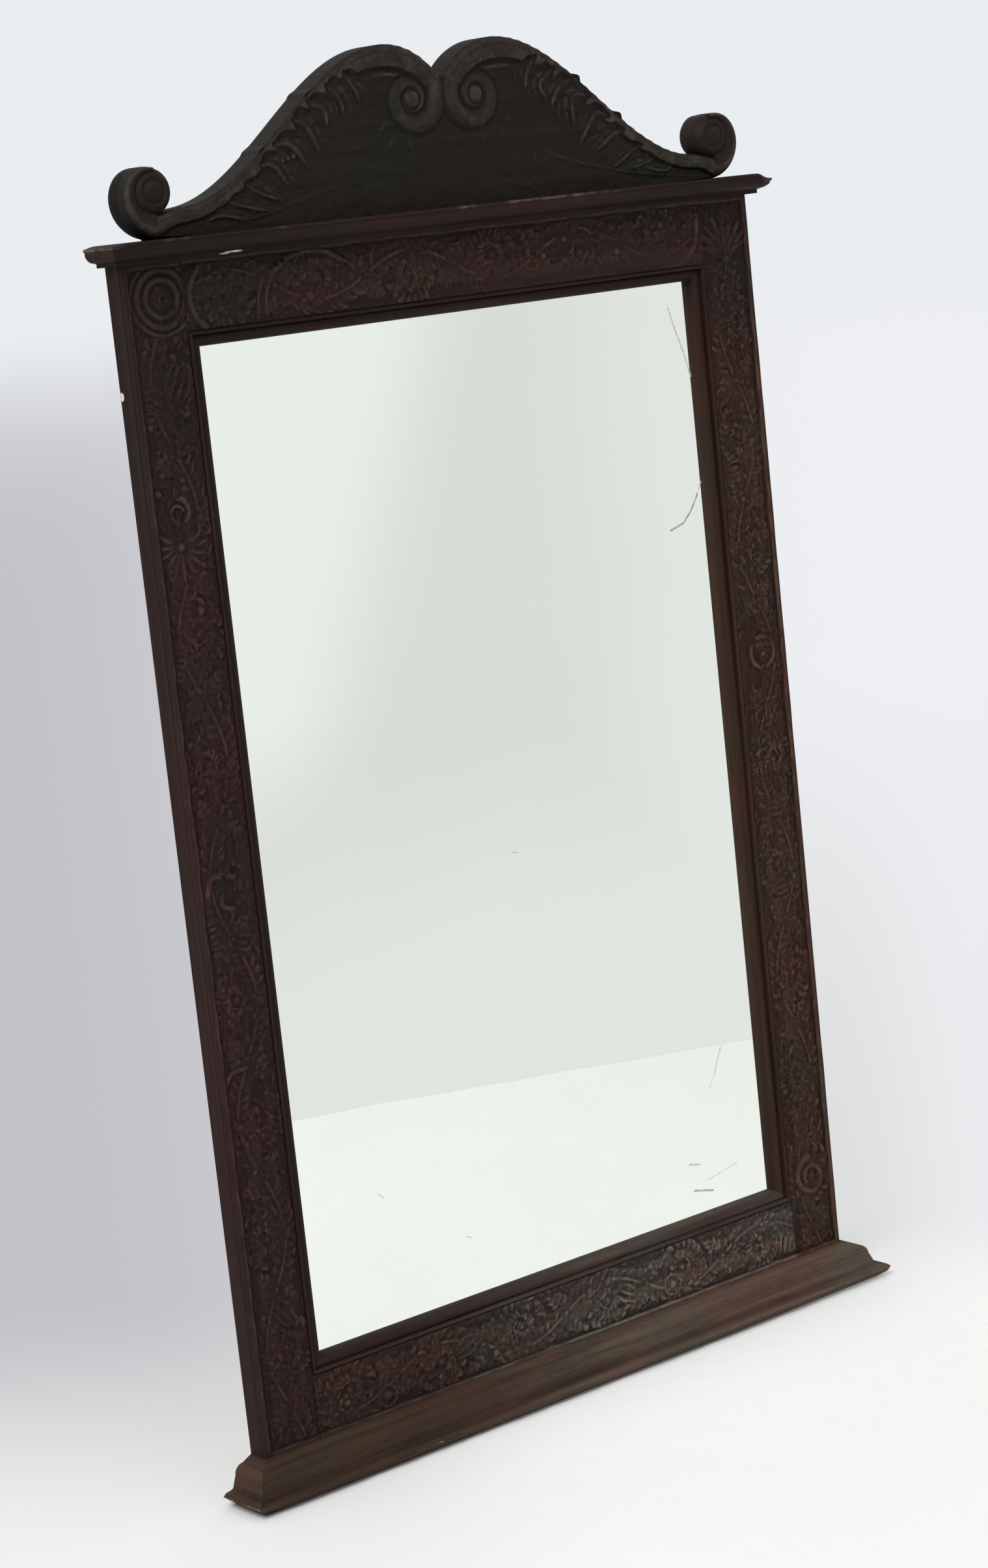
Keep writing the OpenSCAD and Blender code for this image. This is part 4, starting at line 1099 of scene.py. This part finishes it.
def pine(name, along, pale, warm, joints=()):
    """Bare pine gone brown with age: plain-sawn grain, a few knots and dust. joints are the
    heights where one board ends and the next, with grain of its own, begins."""
    board = Finish(name)
    fine, even = board.place(squeezed(along, 0.07)), board.place()
    level = board.part("Z", even)
    number = 0.0
    for joint in joints:
        number = level.step((joint - 0.2) * MM, (joint + 0.2) * MM) + number
    if joints:
        apart = board.add("ShaderNodeCombineXYZ", {}, {"Y": number * 0.37})
        fine = board.add("ShaderNodeVectorMath", {"operation": "ADD"}, {0: fine, 1: apart})
    rings = board.add("ShaderNodeMath", {"operation": "FRACT"}, {0: board.noise(fine, 5.5, 1.5, 0.4) * 30.0})
    grain = rings ** 1.7 * (1.0 - rings.step(0.9, 1.0))
    fibre = board.noise(fine, 600.0, 3.0)
    dust = board.noise(even, 9.0, 5.0, 0.65)
    stain = board.noise(even, 2.6, 3.0)
    knot = board.add("ShaderNodeTexVoronoi", {}, {"Vector": board.place((1.0, 0.0, 1.0)), "Scale": 4.2})
    heart = 1.0 - knot.step(0.035, 0.075)
    colour = board.coats(pale, ((grain * 0.8 + fibre * 0.2).at_most(1.0), warm),
                         (fibre.step(0.45, 0.8) * 0.35, toned(warm, 0.6)),
                         (stain.step(0.4, 0.7) * 0.45, toned(warm, 0.7)),
                         (dust.step(0.4, 0.8) * 0.45, toned(warm, 0.42)), (heart * 0.85, (0.055, 0.026, 0.012)))
    height = grain * 0.4 + fibre * 0.5 + dust * 0.2
    return board.surface(colour, 0.72 + dust * 0.2, board.bump(height, 0.35, 0.0005), {"Specular IOR Level": 0.25})


def eased_copy(node, name, material, width, body="frame", angle=40.0, segments=2):
    """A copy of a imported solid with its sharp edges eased."""
    bm = solid_copy(node)
    bm.normal_update()
    sharp = [e for e in bm.edges if len(e.link_faces) == 2 and e.calc_face_angle(0) > math.radians(35)]
    bmesh.ops.bevel(bm, geom=sharp, offset=width * MM, offset_type="OFFSET", segments=segments, profile=0.5,
                    affect="EDGES", material=-1, clamp_overlap=True)
    finished(bm, name, material, node, body, angle)


pine_boards = pine("aged_pine_boards", "x", (0.27, 0.165, 0.085), (0.150, 0.078, 0.034), (-JOINT_Z, JOINT_Z))
pine_blocks = pine("aged_pine_blocks", "z", (0.33, 0.21, 0.11), (0.22, 0.12, 0.055))
for node in ("upper_backboard", "middle_backboard", "lower_backboard"):
    eased_copy(node, node + "_pine", pine_boards, 0.5)
peg_stain = ((0.02, 0.011, 0.007), (0.06, 0.034, 0.02), (0.09, 0.055, 0.034), (0.13, 0.08, 0.05))
peg_oak = oak("peg_oak", "y", peg_stain, 0.35)
iron = Finish("blackened_iron")
rust = iron.noise(iron.place(), 420.0, 4.0, 0.6)
iron_colour = iron.mix(rust.step(0.45, 0.7), (0.032, 0.029, 0.027), (0.115, 0.048, 0.022))
iron_finish = iron.surface(iron_colour, 0.5 + rust * 0.35, iron.bump(rust, 0.4, 0.0004),
                           {"Metallic": 0.85 - rust.step(0.45, 0.7) * 0.75})
for node, material in (("glazing_blocks", pine_blocks), ("tenon_pegs", peg_oak), ("pediment_dowels", peg_oak),
                       ("backboard_nails", iron_finish), ("moulding_nails", iron_finish)):
    dress(node, material)

# The hangers: stamped brass plates with a rolled knuckle, each screwed to the back of a stile
# by two round-headed screws and holding a bent brass ring.

brass = Finish("aged_brass")
tarnish = brass.noise(brass.place(), 160.0, 5.0, 0.65)
smear = brass.noise(brass.place((1.0, 1.0, 0.3)), 900.0, 2.0)
brass_colour = brass.coats((0.50, 0.33, 0.125), (tarnish.step(0.35, 0.7), (0.17, 0.105, 0.045)),
                           (smear.step(0.6, 0.85) * 0.4, (0.62, 0.44, 0.2)))
brass_finish = brass.surface(brass_colour, 0.28 + tarnish * 0.35, brass.bump(tarnish, 0.25, 0.0003),
                             {"Metallic": 1.0})
for side in ("left", "right"):
    eased_copy(side + "_hanger_plate", side + "_hanger_plate_brass", brass_finish, 0.25)
    eased_copy(side + "_hanger_ring", side + "_hanger_ring_brass", brass_finish, 0.05,
               side + "_ring", 60.0, 1)
eased_copy("hanger_screws", "hanger_screws_brass", brass_finish, 0.18)

# The studio: a white floor whose far part glows as a pale wall behind, as in the photograph, with a
# painted shadow on it at the left. In front of the mirror the floor glows too, with painted bands and a
# painted sheet's edge that the glass reflects as a line across it.

# How far the camera stands to the left, in front and above, and how far out the silvering lies.
LEFT, FRONT, ABOVE, SILVER = 1.9036, 2.4414, 0.5577, 0.0151
FLOOR_Z = BOTTOM_Z * MM
paper = Finish("studio_floor_painted_glow")
here = paper.place()
floor_x, floor_y = paper.part("X", here), paper.part("Y", here)
soft = paper.noise(here, 1.6, 3.0)
fibre = paper.noise(here, 70.0, 4.0)
behind = (floor_x - 0.1685) * 0.633 + (floor_y - 0.302) * 0.774
far = (floor_x + 1.9) * 0.615 + (floor_y + 2.44) * 0.789
aside = ((floor_x + 1.9) * 0.789 - (floor_y + 2.44) * 0.615) / far.at_least(0.5)
leftness = 1.0 - aside.step(-0.12, 0.04)
# Beyond this line the floor glows as a painted wall.
wall_glow_share = ((behind + 0.28 + leftness * 0.31) / (0.38 + leftness * 0.25)).step(0.0, 1.0)
wave = paper.noise(paper.place((1.0, 1.0, 0.0)), 5.0, 1.0) - 0.5
# The painted sheet's edge: beyond it the floor in front glows with the painted bands that the glass reflects.
ahead = (floor_x - 0.41) * 0.405 - (floor_y + 1.015) * 0.914 + wave * 0.06
front_share = ahead.step(-0.002, 0.004)
painted_sheet_edge = (0.006 - ahead.maths("ABSOLUTE", ahead)).step(0.0, 0.004)
# The floor is darker towards the left: painted shade.
floor_colour = paper.coats((0.87, 0.87, 0.865), (soft.step(0.3, 0.7), (0.90, 0.905, 0.895)),
                           (fibre.step(0.4, 0.8) * 0.2, (0.80, 0.80, 0.795)), (leftness, (0.812, 0.812, 0.81)))
# A painted shadow on the glowing wall to the left, and painted shade where it is darker near the mirror.
painted_left_shadow = (1.0 - aside.step(-0.14, 0.03)) * (1.0 - far.step(10.0, 42.0))
far_glow = paper.mix(aside.step(-0.05, 0.12), (0.76, 0.775, 0.80), (0.85, 0.86, 0.89))
near_glow = paper.mix(aside.step(0.09, 0.14), (0.73, 0.735, 0.74), (0.82, 0.83, 0.85))
wall_glow_colour = paper.coats(near_glow, (far.step(3.3, 7.5), far_glow), (painted_left_shadow, (0.545, 0.54, 0.58)),
                          (far.step(12.0, 42.0), (0.82, 0.85, 0.875)))
# Where the camera sees each point of the floor in the plate, which places the glowing painted bands that the glass
# reflects.
nearer = (FRONT - SILVER) / (FRONT - 2 * SILVER - floor_y)
plate_x, plate_z = (floor_x + LEFT) * nearer - LEFT, ABOVE - nearer * (ABOVE - FLOOR_Z)
slant = plate_x + 0.048 - (plate_z - 0.407) * 0.448
painted_light_band = (1.0 - slant.step(-0.08, 0.08)) * plate_z.step(-0.02, 0.14)
even = plate_x.step(0.06, 0.26).at_least(1.0 - plate_z.step(-0.16, 0.08))
front_glow_colour = paper.coats((0.742, 0.748, 0.742), (even, (0.81, 0.815, 0.81)),
                           (painted_light_band, (0.867, 0.878, 0.875)), (painted_sheet_edge * 0.5, (0.62, 0.64, 0.62)))
# Where the floor glows it is black and emits its colour: the painted wall behind and the painted bands in front.
glow_share = wall_glow_share.at_least(front_share)
glow = paper.mix(front_share, wall_glow_colour, front_glow_colour)
black = (0.0, 0.0, 0.0)
floor_finish = paper.surface(
    paper.mix(glow_share, floor_colour, black), 0.85, paper.bump(fibre, 0.05),
    {"Specular IOR Level": 0.0, "Emission Color": paper.mix(glow_share, black, glow), "Emission Strength": 1.0})

bm = bmesh.new()
bmesh.ops.create_grid(bm, x_segments=8, y_segments=8, size=48.0, matrix=Matrix.Translation((0, 0, FLOOR_Z)))
floor = made(bm, "floor", floor_finish)

world = bpy.data.worlds.new("studio")
bpy.context.scene.world = world
sky = Finish(world)
seen = sky.add("ShaderNodeLightPath", out="Is Camera Ray")
glint = sky.add("ShaderNodeLightPath", out="Is Glossy Ray")
# Glossy rays see a brighter world than the light it sheds: painted reflection. The camera sees a pale sky colour.
colour = sky.coats((0.66, 0.66, 0.655), (glint, (0.80, 0.805, 0.80)), (seen, (0.82, 0.85, 0.875)))
light = sky.add("ShaderNodeBackground", {}, {"Color": colour, "Strength": 1.0})
sky.add("ShaderNodeOutputWorld", {}, {"Surface": light})

window = bpy.data.lights.new("window_light", "AREA")
window.shape, window.size, window.energy = "DISK", 3.1, 335.0
lamp = in_scene("window_light", window)
lamp.location = (-4.4, -2.9, 5.0)
lamp.rotation_euler = (Vector((0, 0, 0.1)) - lamp.location).to_track_quat("-Z", "Y").to_euler()

# The camera stands where the photographer did, to the left of the mirror and a little above
# its middle, looks down at it, and is rolled by six degrees.

lens = bpy.data.cameras.new("camera")
lens.sensor_fit, lens.sensor_width, lens.lens = "AUTO", 36.0, 77.99
lens.clip_start, lens.clip_end = 0.05, 100.0
camera = in_scene("camera", lens)
camera.matrix_world = (Matrix.Translation((-LEFT, -FRONT, ABOVE))
                       @ Matrix.Rotation(math.radians(-37.941), 4, "Z")
                       @ Matrix.Rotation(math.radians(90 - 9.935), 4, "X")
                       @ Matrix.Rotation(math.radians(-6.084), 4, "Z"))
bpy.context.scene.camera = camera
